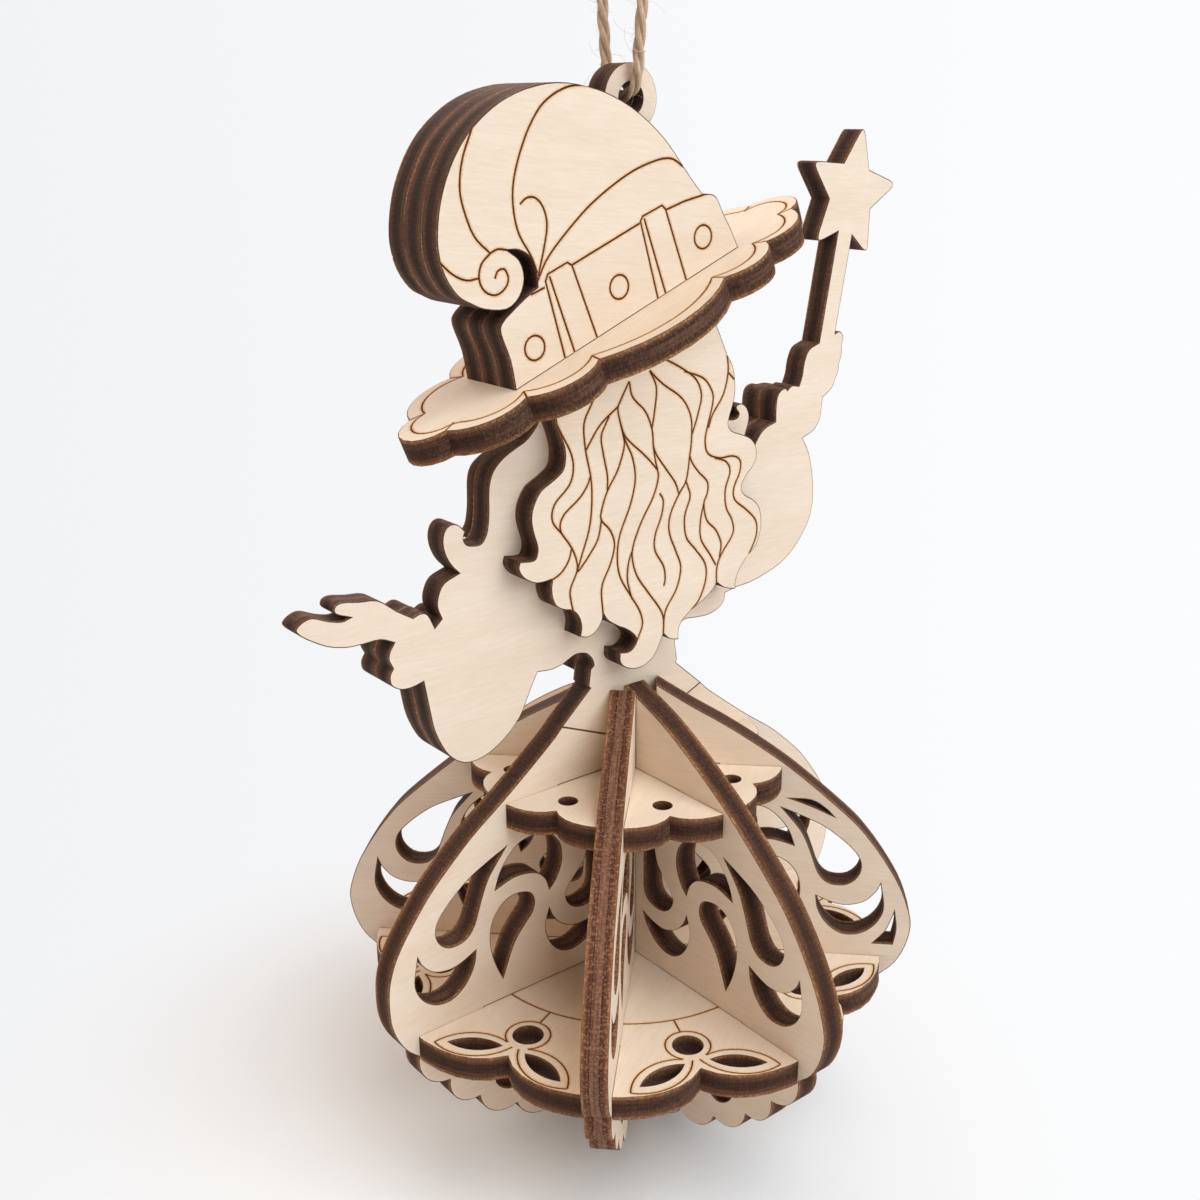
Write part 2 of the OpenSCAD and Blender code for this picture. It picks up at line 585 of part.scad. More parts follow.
module rib(place, inner, cuts) {
    color(wood)
        hung()
            rotate(place * rib_step)
                sheet_at(-half_t)
                    rib_outline(
                        inner,
                        stretch([[inner, skirt_h + rib_rise], for (p = [each rib_crest, each rib_belly]) on_rib(p)]),
                        cuts
                    );
}

// The side ribs stop at the seams, where the figure's hips sit
module side_rib(place) {
    color(wood)
        hung()
            rotate(place * rib_step)
                sheet_at(-half_t)
                    rib_outline(
                        rib_inner_r,
                        [
                            [rib_inner_r, seam_z],
                            each stretch([[hip_r, hip_z], for (p = [each side_crest, each side_belly]) on_rib(p)])
                        ],
                        rib_cuts
                    );
}

module rib_left() {
    side_rib(0);
}

module rib_back_left() {
    rib(1, rib_inner_r, rib_cuts);
}

module rib_back() {
    rib(2, mid_inner_r, rib_cuts);
}

module rib_back_right() {
    rib(3, rib_inner_r, [each rib_cuts, each rib_leaves]);
}

module rib_right() {
    side_rib(4);
}

module rib_front_right() {
    rib(5, rib_inner_r, rib_cuts);
}

module rib_front() {
    rib(6, mid_inner_r, rib_cuts);
}

module rib_front_left() {
    rib(7, rib_inner_r, rib_cuts);
}

// The discs: a scallop over each rib, slots for the ribs and one for the tongue
module disc_outline(tip, notch, lap) {
    half = lobe_half(tip, notch);
    n = len(half);
    lobe = [for (i = [n - 1 : -1 : 1]) [half[i][0], -half[i][1]], for (i = [0 : n - 2]) half[i]];
    difference() {
        polygon([for (k = [0 : 7]) let (c = cos(k * rib_step), s = sin(k * rib_step))
            for (p = lobe) [c * p[0] - s * p[1], s * p[0] + c * p[1]]]);
        for (k = [0 : 7])
            rotate(k * rib_step)
                translate([lap, -(ply_t + slot_play) / 2])
                    square([tip, ply_t + slot_play]);
        square([tongue_w + slot_play, ply_t + slot_play], center = true);
    }
}

module upper_disc() {
    color(wood)
        hung()
            translate([0, 0, upper_disc_z - ply_t])
                linear_extrude(ply_t)
                    difference() {
                        disc_outline(upper_disc_r, upper_notch_r, upper_lap_r);
                        for (k = [0.5 : 7.5])
                            rotate(k * rib_step)
                                translate([upper_hole_r, 0])
                                    circle(d = upper_hole_d, $fn = round_fn);
                    }
}

module lower_disc() {
    tip = leaf_at + leaf_l * [cos(leaf_turn), sin(leaf_turn)];
    leaf = [each scallop(leaf_at, tip, leaf_w / 2), each scallop(tip, leaf_at, leaf_w / 2)];
    color(wood)
        hung()
            translate([0, 0, -ply_t])
                linear_extrude(ply_t)
                    difference() {
                        disc_outline(lower_disc_r, lower_notch_r, lower_lap_r);
                        for (k = [0.5 : 7.5])
                            rotate(k * rib_step) {
                                translate([lower_hole_r, 0])
                                    circle(d = lower_hole_d, $fn = round_fn);
                                polygon(leaf);
                                mirror([0, 1])
                                    polygon(leaf);
                            }
                    }
}

// The twine: one tube swept along the loop, both ends flat under the knot
loop = [
    for (i = [len(loop_half) - 1 : -1 : 1]) [-loop_half[i][0], loop_half[i][1]],
    each loop_half
];

module hanging_cord() {
    n = len(loop);
    ring = [for (i = [0 : n - 1])
        let (
            way = loop[min(i + 1, n - 1)] - loop[max(i - 1, 0)],
            side = [-way[1], way[0]] / norm(way)
        )
        for (k = [0 : cord_sides - 1])
            let (turn = 360 * k / cord_sides, out = loop[i] + cord_d / 2 * cos(turn) * side)
            [cord_d / 2 * sin(turn), out[0], out[1]]];
    wall = [for (i = [0 : n - 2], k = [0 : cord_sides - 1])
        let (a = i * cord_sides + k, b = i * cord_sides + (k + 1) % cord_sides)
        each [[a, a + cord_sides, b], [b, a + cord_sides, b + cord_sides]]];
    last = (n - 1) * cord_sides;
    caps = [for (k = [1 : cord_sides - 2]) each [[0, k, k + 1], [last, last + k + 1, last + k]]];
    color(jute)
        translate([0, 0, -hook_h])
            polyhedron(ring, [each wall, each caps]);
}

// The knot: both strands tied together, with two short tails
module cord_knot() {
    foot = loop_half[len(loop_half) - 1];
    color(jute)
        translate([0, 0, foot[1] - hook_h]) {
            rotate_extrude($fn = round_fn)
                polygon([[0, 0], [0.42 * knot_d, 0], [knot_d / 2, 0.3 * knot_h], [knot_d / 2, 0.7 * knot_h],
                    [0.36 * knot_d, knot_h], [0, knot_h]]);
            for (s = [-1, 1])
                translate([0, s * foot[0], knot_h / 2])
                    rotate([-s * 10, 0, 0])
                        cylinder(d = cord_d, h = knot_h / 2 + tail_l, $fn = round_fn);
        }
}

figure_core();
hat_core();
hat_back();
hat_front();
hat_brim();
hair_back();
hair_front();
bodice_front();
sleeve_left_front();
sleeve_right_front();
rib_left();
rib_back_left();
rib_back();
rib_back_right();
rib_right();
rib_front_right();
rib_front();
rib_front_left();
upper_disc();
lower_disc();
hanging_cord();
cord_knot();
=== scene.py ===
"""Looks of a hanging witch ornament: laser-cut birch plywood layers on a loop of jute twine."""

from __future__ import annotations

import logging
import math
from dataclasses import dataclass
from enum import Enum
from typing import Any, Iterable, Sequence

import bmesh
import bpy
from mathutils import Matrix, Vector


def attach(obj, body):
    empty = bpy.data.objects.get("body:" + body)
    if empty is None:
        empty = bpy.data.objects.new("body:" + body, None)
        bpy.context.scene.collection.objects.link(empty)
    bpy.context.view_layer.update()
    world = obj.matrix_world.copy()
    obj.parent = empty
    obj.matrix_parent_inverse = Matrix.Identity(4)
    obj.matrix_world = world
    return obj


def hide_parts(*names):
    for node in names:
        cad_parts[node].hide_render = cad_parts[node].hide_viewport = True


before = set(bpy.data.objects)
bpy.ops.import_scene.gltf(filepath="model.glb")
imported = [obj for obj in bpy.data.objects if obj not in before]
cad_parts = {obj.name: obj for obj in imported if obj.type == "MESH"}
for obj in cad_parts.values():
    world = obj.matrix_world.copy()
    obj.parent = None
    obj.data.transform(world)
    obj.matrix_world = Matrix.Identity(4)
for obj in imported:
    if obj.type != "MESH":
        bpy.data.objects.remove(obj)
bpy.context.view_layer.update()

LOG = logging.getLogger("witch_ornament")

Point = tuple[float, float]
Line = Sequence[Point]
Triple = tuple[float, float, float]
Colour = tuple[float, float, float, float]
Tree = bpy.types.NodeTree
Node = bpy.types.Node
Socket = bpy.types.NodeSocket
Material = bpy.types.Material
Mesh = bpy.types.Mesh
Object = bpy.types.Object

MM = 0.001
PLY_T = 3.0
HALF_T = PLY_T / 2
# Where the drawings' zero lies under the hook: the skirt's axis at the lower disc's top
DRAWN_ZERO = Vector((-0.65, 0.0, -124.0))
UP = Vector((0.0, 0.0, 1.0))
RIGHT = Vector((1.0, 0.0, 0.0))
BACK = Vector((0.0, 1.0, 0.0))
LINE_W = 0.265
LINE_FINISH = "scorched_line"
PLACE = "sheet_place"
END_GRAIN = "end_grain"
ALONG = "strand_along"
AROUND = "strand_around"


class Slot(Enum):
    """The record's two material slots."""

    PLY = "birch_ply"
    TWINE = "jute_twine"


class Body(Enum):
    """The two bodies that the joint joins."""

    TWINE = "twine"
    FIGURE = "figure"


class EdgeLook(Enum):
    """How a piece's cut edges came out of the laser."""

    SOOTY = "sooty_edge"
    TOASTED = "toasted_edge"
    STRIPED = "striped_edge"


class Face(Enum):
    """The two sides of a sheet, as the sign of its outward way."""

    OUT = 1
    IN = -1


# Node tree helpers


def put(tree: Tree, kind: str, settings: dict[str, Any] | None = None, **inputs: Any) -> Node:
    """Adds a node and sets its properties and inputs.

    Args:
        tree: The tree that takes the node.
        kind: The node's type name.
        settings: Properties of the node itself.
        **inputs: Values or output sockets by input name, with _ for a blank.

    Returns:
        The new node.
    """
    node = tree.nodes.new(kind)
    for name, value in (settings or {}).items():
        setattr(node, name, value)
    for name, value in inputs.items():
        key = name.replace("_", " ")
        feed(tree, next(s for s in node.inputs if s.name == key and s.enabled), value)
    return node


def feed(tree: Tree, socket: Socket, value: Any) -> None:
    """Links an output to a socket, or sets the socket's own value.

    Args:
        tree: The tree that holds the socket.
        socket: The input socket.
        value: An output socket or a plain value.
    """
    if isinstance(value, Socket):
        tree.links.new(value, socket)
    else:
        socket.default_value = value


def feed_all(tree: Tree, node: Node, values: Iterable[Any]) -> Node:
    """Feeds a node's first inputs in order.

    Args:
        tree: The tree that holds the node.
        node: The node.
        values: Output sockets or plain values.

    Returns:
        The same node.
    """
    for socket, value in zip(node.inputs, values):
        feed(tree, socket, value)
    return node


def maths(tree: Tree, operation: str, *values: Any, clamp: bool = False) -> Socket:
    """Adds a Math node.

    Args:
        tree: The tree that takes the node.
        operation: The Math node's operation.
        *values: Numbers or output sockets, in order.
        clamp: Whether the result is kept between 0 and 1.

    Returns:
        The node's output.
    """
    node = put(tree, "ShaderNodeMath", {"operation": operation, "use_clamp": clamp})
    return feed_all(tree, node, values).outputs[0]


def vectors(tree: Tree, operation: str, *values: Any) -> Node:
    """Adds a Vector Math node.

    Args:
        tree: The tree that takes the node.
        operation: The node's operation.
        *values: Vectors or output sockets, in order.

    Returns:
        The node.
    """
    node = put(tree, "ShaderNodeVectorMath", {"operation": operation})
    return feed_all(tree, node, values)


def blend(tree: Tree, share: Any, low: Any, high: Any, mode: str = "MIX") -> Socket:
    """Mixes two colours.

    Args:
        tree: The tree that takes the node.
        share: How much of the second colour, as a number or output.
        low: The first colour or output.
        high: The second colour or output.
        mode: The blend type.

    Returns:
        The mixed colour's output.
    """
    node = put(tree, "ShaderNodeMix", {"data_type": "RGBA", "blend_type": mode})
    for index, value in ((0, share), (6, low), (7, high)):
        feed(tree, node.inputs[index], value)
    return node.outputs[2]


def ramp(tree: Tree, value: Any, stops: Sequence[tuple[float, Colour]]) -> Socket:
    """Turns a value into a colour through named stops.

    Args:
        tree: The tree that takes the node.
        value: The number's output.
        stops: Positions and their colours, from low to high.

    Returns:
        The colour's output.
    """
    node = put(tree, "ShaderNodeValToRGB")
    bar = node.color_ramp.elements
    while len(bar) < len(stops):
        bar.new(1.0)
    for element, (position, colour) in zip(bar, stops):
        element.position = position
        element.color = colour
    feed(tree, node.inputs[0], value)
    return node.outputs[0]


def streaks(tree: Tree, place: Any, stretch: Triple, detail: float = 2.0, turn: float = 0.0) -> Socket:
    """A noise drawn out along one way of the sheet.

    Args:
        tree: The tree that takes the nodes.
        place: The place on the sheet, in millimetres.
        stretch: Grains per millimetre along, across and through the sheet.
        detail: The noise's detail.
        turn: Slope of the grain, in radians.

    Returns:
        The noise's value.
    """
    mapping = put(tree, "ShaderNodeMapping", Vector=place, Rotation=(0.0, 0.0, turn), Scale=stretch)
    noise = put(tree, "ShaderNodeTexNoise", Vector=mapping.outputs[0], Scale=1.0, Detail=detail,
                Roughness=0.6)
    return noise.outputs[0]


def spread(tree: Tree, value: Any, low: float, high: float) -> Socket:
    """Stretches a value so that low becomes 0 and high becomes 1, kept between them.

    Args:
        tree: The tree that takes the node.
        value: The number's output.
        low: What becomes 0.
        high: What becomes 1.

    Returns:
        The stretched value's output.
    """
    node = put(tree, "ShaderNodeMapRange", {"clamp": True, "interpolation_type": "SMOOTHSTEP"})
    return feed_all(tree, node, (value, low, high)).outputs[0]


def new_group(name: str, kind: str, takes: dict[str, str], gives: Sequence[str],
              gives_kind: str) -> tuple[Tree, list[Socket]]:
    """A node group with its sockets declared.

    Args:
        name: The group's name.
        kind: The tree's type name.
        takes: The inputs' names and kinds.
        gives: The outputs' names.
        gives_kind: The kind of all outputs.

    Returns:
        The tree, and what comes in through its inputs, in order.
    """
    tree = bpy.data.node_groups.new(name, kind)
    for way, kinds in (("INPUT", takes), ("OUTPUT", dict.fromkeys(gives, gives_kind))):
        for label, socket in kinds.items():
            tree.interface.new_socket(name=label, in_out=way, socket_type="NodeSocket" + socket)
    entry = put(tree, "NodeGroupInput")
    return tree, list(entry.outputs)[:len(takes)]


def swept_along(tree: Tree, curve: Socket, profile: Socket) -> Socket:
    """Sweeps a closed profile along a curve, with both ends filled."""
    swept = put(tree, "GeometryNodeCurveToMesh", Curve=curve, Profile_Curve=profile, Fill_Caps=True)
    return swept.outputs[0]


def give_out(tree: Tree, name: str, geometry: Socket, finish: Material) -> None:
    """Ends a geometry tree: makes its instances real, dresses them and puts them out.

    Args:
        tree: The tree.
        name: The output's name.
        geometry: What the tree has made.
        finish: The material that it takes.
    """
    real = put(tree, "GeometryNodeRealizeInstances", Geometry=geometry)
    dressed = put(tree, "GeometryNodeSetMaterial", Geometry=real.outputs[0], Material=finish)
    put(tree, "NodeGroupOutput", **{name: dressed.outputs[0]})


def new_material(name: str) -> tuple[Material, Tree, Node]:
    """A material with an empty tree, an output and a Principled shader.

    Args:
        name: The material's name.

    Returns:
        The material, its tree and its shader node.
    """
    material = bpy.data.materials.new(name)
    material.use_nodes = True
    tree = material.node_tree
    tree.nodes.clear()
    shader = put(tree, "ShaderNodeBsdfPrincipled")
    put(tree, "ShaderNodeOutputMaterial", Surface=shader.outputs[0])
    return material, tree, shader


def grouped(tree: Tree, group: Tree, place: Any) -> Iterable[Socket]:
    """Places a shared group in a material and gives its outputs in order."""
    return put(tree, "ShaderNodeGroup", {"node_tree": group}, Place=place).outputs


def attribute(tree: Tree, name: str, output: str = "Vector") -> Socket:
    """Reads one of a piece's own attributes."""
    return put(tree, "ShaderNodeAttribute", {"attribute_name": name}).outputs[output]


def surface(tree: Tree, shader: Node, colour: Socket, mask: Socket, level: float, span: float,
            gloss: float) -> None:
    """Feeds a Principled shader its colour, its uneven roughness and its gloss.

    Args:
        tree: The material's tree.
        shader: The shader.
        colour: The colour's output.
        mask: Where it is rougher, from 0 to 1.
        level: The roughness in the middle.
        span: How far the roughness goes from one end of the mask to the other.
        gloss: The specular level.
    """
    feed(tree, shader.inputs["Base Color"], colour)
    feed(tree, shader.inputs["Roughness"], maths(tree, "MULTIPLY_ADD", mask, span, level - span / 2))
    shader.inputs["Specular IOR Level"].default_value = gloss


def raised(tree: Tree, shader: Node, height: Socket, strength: float, depth: float) -> None:
    """Gives a shader a bump, its depth in metres."""
    bump = put(tree, "ShaderNodeBump", Height=height, Strength=strength, Distance=depth)
    feed(tree, shader.inputs["Normal"], bump.outputs[0])


# Finishes


def grain_group() -> Tree:
    """The birch veneer's grain: soft bands, fine fibres and short dark flecks along U.

    Returns:
        The shared group.
    """
    tree, (place,) = new_group("birch_grain", "ShaderNodeTree", {"Place": "Vector"},
                               ("Bands", "Fibres", "Flecks"), "Float")
    bands = spread(tree, streaks(tree, place, (0.035, 0.26, 0.0), 3.0), 0.3, 0.7)
    fibres = spread(tree, streaks(tree, place, (0.30, 3.0, 0.0), 4.0), 0.3, 0.72)
    fine = spread(tree, streaks(tree, place, (0.8, 9.0, 0.0), 2.0, 0.03), 0.62, 0.76)
    where = spread(tree, streaks(tree, place, (0.12, 0.3, 0.0), 1.0), 0.46, 0.62)
    put(tree, "NodeGroupOutput", Bands=bands, Fibres=fibres, Flecks=maths(tree, "MULTIPLY", fine, where))
    return tree


def soot_group() -> Tree:
    """What the laser leaves on a cut: beam lines across it, streaks along it and specks.

    Returns:
        The shared group.
    """
    tree, (place,) = new_group("laser_soot", "ShaderNodeTree", {"Place": "Vector"},
                               ("Beam Lines", "Streaks", "Specks", "Drift"), "Float")
    lines = spread(tree, streaks(tree, place, (4.6, 4.6, 0.25), 2.0), 0.3, 0.7)
    along = spread(tree, streaks(tree, place, (0.12, 0.12, 7.5), 4.0), 0.3, 0.7)
    specks = spread(tree, streaks(tree, place, (3.6, 3.6, 5.0), 2.0), 0.5, 0.62)
    drift = streaks(tree, place, (0.1, 0.1, 0.0), 2.0)
    put(tree, "NodeGroupOutput", Beam_Lines=lines, Streaks=along, Specks=specks, Drift=drift)
    return tree


@dataclass
class Palette:
    """The ornament's finishes, each made once."""

    face: Material
    edges: dict[EdgeLook, Material]
    line: Material
    jute: Material
    fibre: Material


@dataclass(frozen=True)
class BirchFace:
    """Bare sanded birch veneer."""

    pale: Colour = (0.885, 0.760, 0.630, 1.0)
    warm: Colour = (0.790, 0.632, 0.480, 1.0)
    fleck: Colour = (0.520, 0.360, 0.230, 1.0)
    band_share: float = 0.36
    fibre_share: float = 0.42
    fleck_share: float = 0.34
    fibre_depth: float = 0.05 * MM
    relief: float = 0.15
    roughness: float = 0.62
    rough_span: float = 0.12
    gloss: float = 0.25

    def build(self, grain: Tree) -> Material:
        """Makes the material.

        Args:
            grain: The shared grain.

        Returns:
            The material.
        """
        material, tree, shader = new_material("birch_face")
        bands, fibres, flecks = grouped(tree, grain, attribute(tree, PLACE))
        drawn = maths(tree, "MULTIPLY", fibres, self.fibre_share)
        share = maths(tree, "MULTIPLY_ADD", bands, self.band_share, drawn)
        wood = blend(tree, share, self.pale, self.warm)
        wood = blend(tree, maths(tree, "MULTIPLY", flecks, self.fleck_share), wood, self.fleck)
        raised(tree, shader, maths(tree, "SUBTRACT", fibres, flecks), self.relief, self.fibre_depth)
        surface(tree, shader, wood, fibres, self.roughness, self.rough_span, self.gloss)
        return material


@dataclass(frozen=True)
class LaserEdge:
    """A laser-cut edge: veneers, glue lines and a core, each charred as its fibres run, with a golden band
    by the sides that is partly toasted fringe and partly painted highlight.

    Levels go from 0 in the middle of the sheet to 1 at its sides.
    """

    look: EdgeLook = EdgeLook.SOOTY
    long_core: Colour = (0.125, 0.060, 0.036, 1.0)
    long_veneer: Colour = (0.070, 0.030, 0.017, 1.0)
    end_core: Colour = (0.030, 0.016, 0.012, 1.0)
    end_veneer: Colour = (0.100, 0.050, 0.031, 1.0)
    glue: Colour = (0.032, 0.014, 0.009, 1.0)
    # rim: the golden band by the sheet's sides, partly toasted fringe and partly a painted highlight on the
    # cut's corner
    rim: Colour = (0.430, 0.230, 0.145, 1.0)
    lip: Colour = (0.085, 0.042, 0.025, 1.0)
    ash: Colour = (0.250, 0.150, 0.105, 1.0)
    long_levels: Triple = (0.31, 0.37, 0.44)
    end_levels: Point = (0.22, 0.62)
    end_from: Point = (0.1, 0.75)
    beam_shade: Point = (0.80, 1.18)
    streak_shade: Point = (0.62, 1.40)
    shade_tint: Triple = (1.0, 0.985, 0.97)
    ash_share: float = 0.30
    end_ash_share: float = 0.1
    end_share: float = 1.0
    rim_from: float = 0.74
    rim_to: float = 0.96
    rim_toast_and_highlight_share: float = 1.15
    rim_specks: float = 0.75
    rim_plain: float = 0.38
    patchy: float = 0.80
    patches: Point = (0.60, 0.42)
    lip_levels: Point = (0.97, 0.98)
    drift: float = 0.10
    soot_depth: float = 0.06 * MM
    relief: float = 0.3
    roughness: float = 0.80
    rough_span: float = 0.1
    gloss: float = 0.14

    def build(self, soot: Tree) -> Material:
        """Makes the material.

        Args:
            soot: The shared soot.

        Returns:
            The material.
        """
        material, tree, shader = new_material(self.look.value)
        place = attribute(tree, PLACE)
        end = maths(tree, "MULTIPLY", attribute(tree, END_GRAIN, "Fac"), self.end_share)
        lines, along, specks, drift = grouped(tree, soot, place)
        across = put(tree, "ShaderNodeSeparateXYZ", Vector=place).outputs[2]
        sway = maths(tree, "MULTIPLY_ADD", drift, 2 * self.drift, -self.drift)
        inner = maths(tree, "SUBTRACT", 1.0, maths(tree, "ABSOLUTE", across))
        layer = maths(tree, "ABSOLUTE", maths(tree, "MULTIPLY_ADD", sway, inner, across))
        long_colours = (self.long_core, self.glue, self.long_veneer)
        with_grain = ramp(tree, layer, list(zip(self.long_levels, long_colours)))
        end_grain = ramp(tree, layer, list(zip(self.end_levels, (self.end_core, self.end_veneer))))
        wood = blend(tree, spread(tree, end, *self.end_from), with_grain, end_grain)
        for mask, (low, high) in ((lines, self.beam_shade), (along, self.streak_shade)):
            bright = (*(high * part for part in self.shade_tint), 1.0)
            shade = blend(tree, mask, (low, low, low, 1.0), bright)
            wood = blend(tree, 1.0, wood, shade, "MULTIPLY")
        loose = maths(tree, "MULTIPLY_ADD", end, self.end_ash_share - self.ash_share, self.ash_share)
        wood = blend(tree, maths(tree, "MULTIPLY", specks, loose), wood, self.ash)
        # The band by the sides, speckled and patchy along the edge: toasted fringe plus painted highlight
        patch = spread(tree, drift, *self.patches)
        here = maths(tree, "MULTIPLY_ADD", patch, self.patchy, 1.0 - self.patchy)
        toast_and_glint_specks = maths(tree, "MULTIPLY_ADD", specks, self.rim_specks * self.rim_toast_and_highlight_share,
                     self.rim_plain * self.rim_toast_and_highlight_share)
        near = spread(tree, layer, self.rim_from, self.rim_to)
        glow = maths(tree, "MULTIPLY", near, maths(tree, "MULTIPLY", here, toast_and_glint_specks))
        wood = blend(tree, glow, wood, self.rim)
        wood = blend(tree, spread(tree, layer, *self.lip_levels), wood, self.lip)
        raised(tree, shader, maths(tree, "ADD", lines, specks), self.relief, self.soot_depth)
        surface(tree, shader, wood, specks, self.roughness, self.rough_span, self.gloss)
        return material


@dataclass(frozen=True)
class ScorchedLine:
    """An engraved line: orange at its lips and dark brown at its foot."""

    lip: Colour = (0.850, 0.690, 0.520, 1.0)
    halo: Colour = (0.740, 0.475, 0.255, 1.0)
    wall: Colour = (0.245, 0.080, 0.023, 1.0)
    foot: Colour = (0.118, 0.038, 0.012, 1.0)
    levels: tuple[float, ...] = (0.0, 0.08, 0.20, 0.7)
    depth_scale: float = 8.0
    pale_beam: Colour = (1.14, 1.12, 1.1, 1.0)
    dark_beam: Colour = (0.85, 0.85, 0.85, 1.0)
    roughness: float = 0.80
    rough_span: float = 0.1
    gloss: float = 0.2

    def build(self, soot: Tree) -> Material:
        """Makes the material.

        Args:
            soot: The shared soot.

        Returns:
            The material.
        """
        material, tree, shader = new_material(LINE_FINISH)
        place = attribute(tree, PLACE)
        lines, _, specks, _ = grouped(tree, soot, place)
        across = put(tree, "ShaderNodeSeparateXYZ", Vector=place).outputs[2]
        depth = maths(tree, "SUBTRACT", 1.0, maths(tree, "ABSOLUTE", across))
        stops = list(zip(self.levels, (self.lip, self.halo, self.wall, self.foot)))
        wood = ramp(tree, maths(tree, "MULTIPLY", depth, self.depth_scale), stops)
        shade = blend(tree, lines, self.dark_beam, self.pale_beam)
        wood = blend(tree, 1.0, wood, shade, "MULTIPLY")
        surface(tree, shader, wood, specks, self.roughness, self.rough_span, self.gloss)
        return material


@dataclass(frozen=True)
class JuteTwine:
    """Twisted jute: pale golden fibres with darker ones between."""

    name: str
    pale: Colour = (0.80, 0.615, 0.440, 1.0)
    dark: Colour = (0.35, 0.235, 0.15, 1.0)
    contrast: float = 0.7
    dark_share: float = 0.75
    blotch_share: float = 0.35
    round_scale: float = 3.0
    hair_grain: Triple = (0.9, 7.0, 0.0)
    hair_levels: Point = (0.32, 0.66)
    blotch_grain: Triple = (0.5, 0.5, 0.0)
    blotch_levels: Point = (0.35, 0.65)
    hair_depth: float = 0.05 * MM
    relief: float = 0.6
    roughness: float = 0.85
    rough_span: float = 0.1
    gloss: float = 0.2

    def build(self) -> Material:
        """Makes the material from the strand's own attributes.

        Returns:
            The material.
        """
        material, tree, shader = new_material(self.name)
        along = attribute(tree, ALONG, "Fac")
        around = maths(tree, "MULTIPLY", attribute(tree, AROUND, "Fac"), self.round_scale)
        strand = put(tree, "ShaderNodeCombineXYZ", X=along, Y=around, Z=0.0).outputs[0]
        hair = spread(tree, streaks(tree, strand, self.hair_grain, 3.0), *self.hair_levels)
        blotches = spread(tree, streaks(tree, strand, self.blotch_grain, 2.0), *self.blotch_levels)
        tone = maths(tree, "MULTIPLY_ADD", blotches, self.blotch_share, hair)
        share = maths(tree, "MULTIPLY", tone, self.dark_share * self.contrast, clamp=True)
        jute = blend(tree, share, self.pale, self.dark)
        raised(tree, shader, hair, self.relief, self.hair_depth)
        surface(tree, shader, jute, hair, self.roughness, self.rough_span, self.gloss)
        return material


def make_palette() -> Palette:
    """Builds the groups once and the finishes from them.

    Returns:
        The finishes.
    """
    grain = grain_group()
    soot = soot_group()
    # The toasted edges' wider rim band is toasted fringe plus painted highlight
    warm = {"rim": (0.450, 0.228, 0.105, 1.0), "lip": (0.140, 0.068, 0.036, 1.0),
            "end_core": (0.045, 0.020, 0.013, 1.0), "end_veneer": (0.112, 0.048, 0.026, 1.0),
            "long_core": (0.090, 0.043, 0.026, 1.0), "long_veneer": (0.060, 0.026, 0.015, 1.0),
            "rim_from": 0.60, "patchy": 0.50}
    striped = {"long_core": (0.190, 0.086, 0.051, 1.0), "long_veneer": (0.112, 0.039, 0.020, 1.0),
               "ash": (0.430, 0.265, 0.180, 1.0), "ash_share": 0.42, "end_share": 0.15}
    edges = (LaserEdge(), LaserEdge(EdgeLook.TOASTED, **warm),
             LaserEdge(EdgeLook.STRIPED, **(warm | striped)))
    return Palette(
        face=BirchFace().build(grain),
        edges={edge.look: edge.build(soot) for edge in edges},
        line=ScorchedLine().build(soot),
        jute=JuteTwine("jute_ply").build(),
        fibre=JuteTwine("jute_fibre", pale=(0.84, 0.67, 0.50, 1.0), contrast=0.4).build(),
    )


# Lines and sheets


def through(points: Sequence[Vector], step: float, closed: bool = False) -> list[Vector]:
    """Draws one smooth line through points of a plane or of space.

    Args:
        points: The points, in millimetres.
        step: About how far apart the new points lie.
        closed: Whether the line comes back to its start.

    Returns:
        The line's points, without a repeated end where it is closed.
    """
    n = len(points)
    drawn: list[Vector] = []
    for i in range(n if closed else n - 1):
        b, c = points[i], points[(i + 1) % n]
        a = points[(i - 1) % n] if closed or i > 0 else 2 * b - c
        d = points[(i + 2) % n] if closed or i < n - 2 else 2 * c - b
        leave, arrive, gap = (c - a) / 2, (d - b) / 2, c - b
        count = max(1, round(gap.length / step))
        for k in range(count):
            t = k / count
            bend = 3 * gap - 2 * leave - arrive + t * (leave + arrive - 2 * gap)
            drawn.append(b + t * (leave + t * bend))
    return drawn if closed else [*drawn, points[-1]]


def smooth(points: Line, step: float = 0.4, closed: bool = False) -> list[Point]:
    """Draws one smooth line on a drawing; two points make a straight line.

    Args:
        points: The points, in millimetres.
        step: About how far apart the new points lie.
        closed: Whether the line comes back to its start.

    Returns:
        The line's points.
    """
    if len(points) == 2:
        return list(points)
    return [(q.x, q.y) for q in through([Vector(p) for p in points], step, closed)]


def circle(middle: Point, radius: float, start: float = 0.0, sweep: float = 360.0,
           step: float = 0.4) -> list[Point]:
    """Points round a circle or an arc of it.

    Args:
        middle: The centre, in millimetres.
        radius: The radius.
        start: Where the arc starts, in degrees.
        sweep: How far it goes; 360 leaves out the repeated end.
        step: About how far apart the points lie.

    Returns:
        The arc's points.
    """
    count = max(12, round(abs(math.radians(sweep)) * radius / step))
    last = count if abs(sweep) >= 360.0 else count + 1
    turns = [math.radians(start + sweep * k / count) for k in range(last)]
    return [(middle[0] + radius * math.cos(a), middle[1] + radius * math.sin(a)) for a in turns]


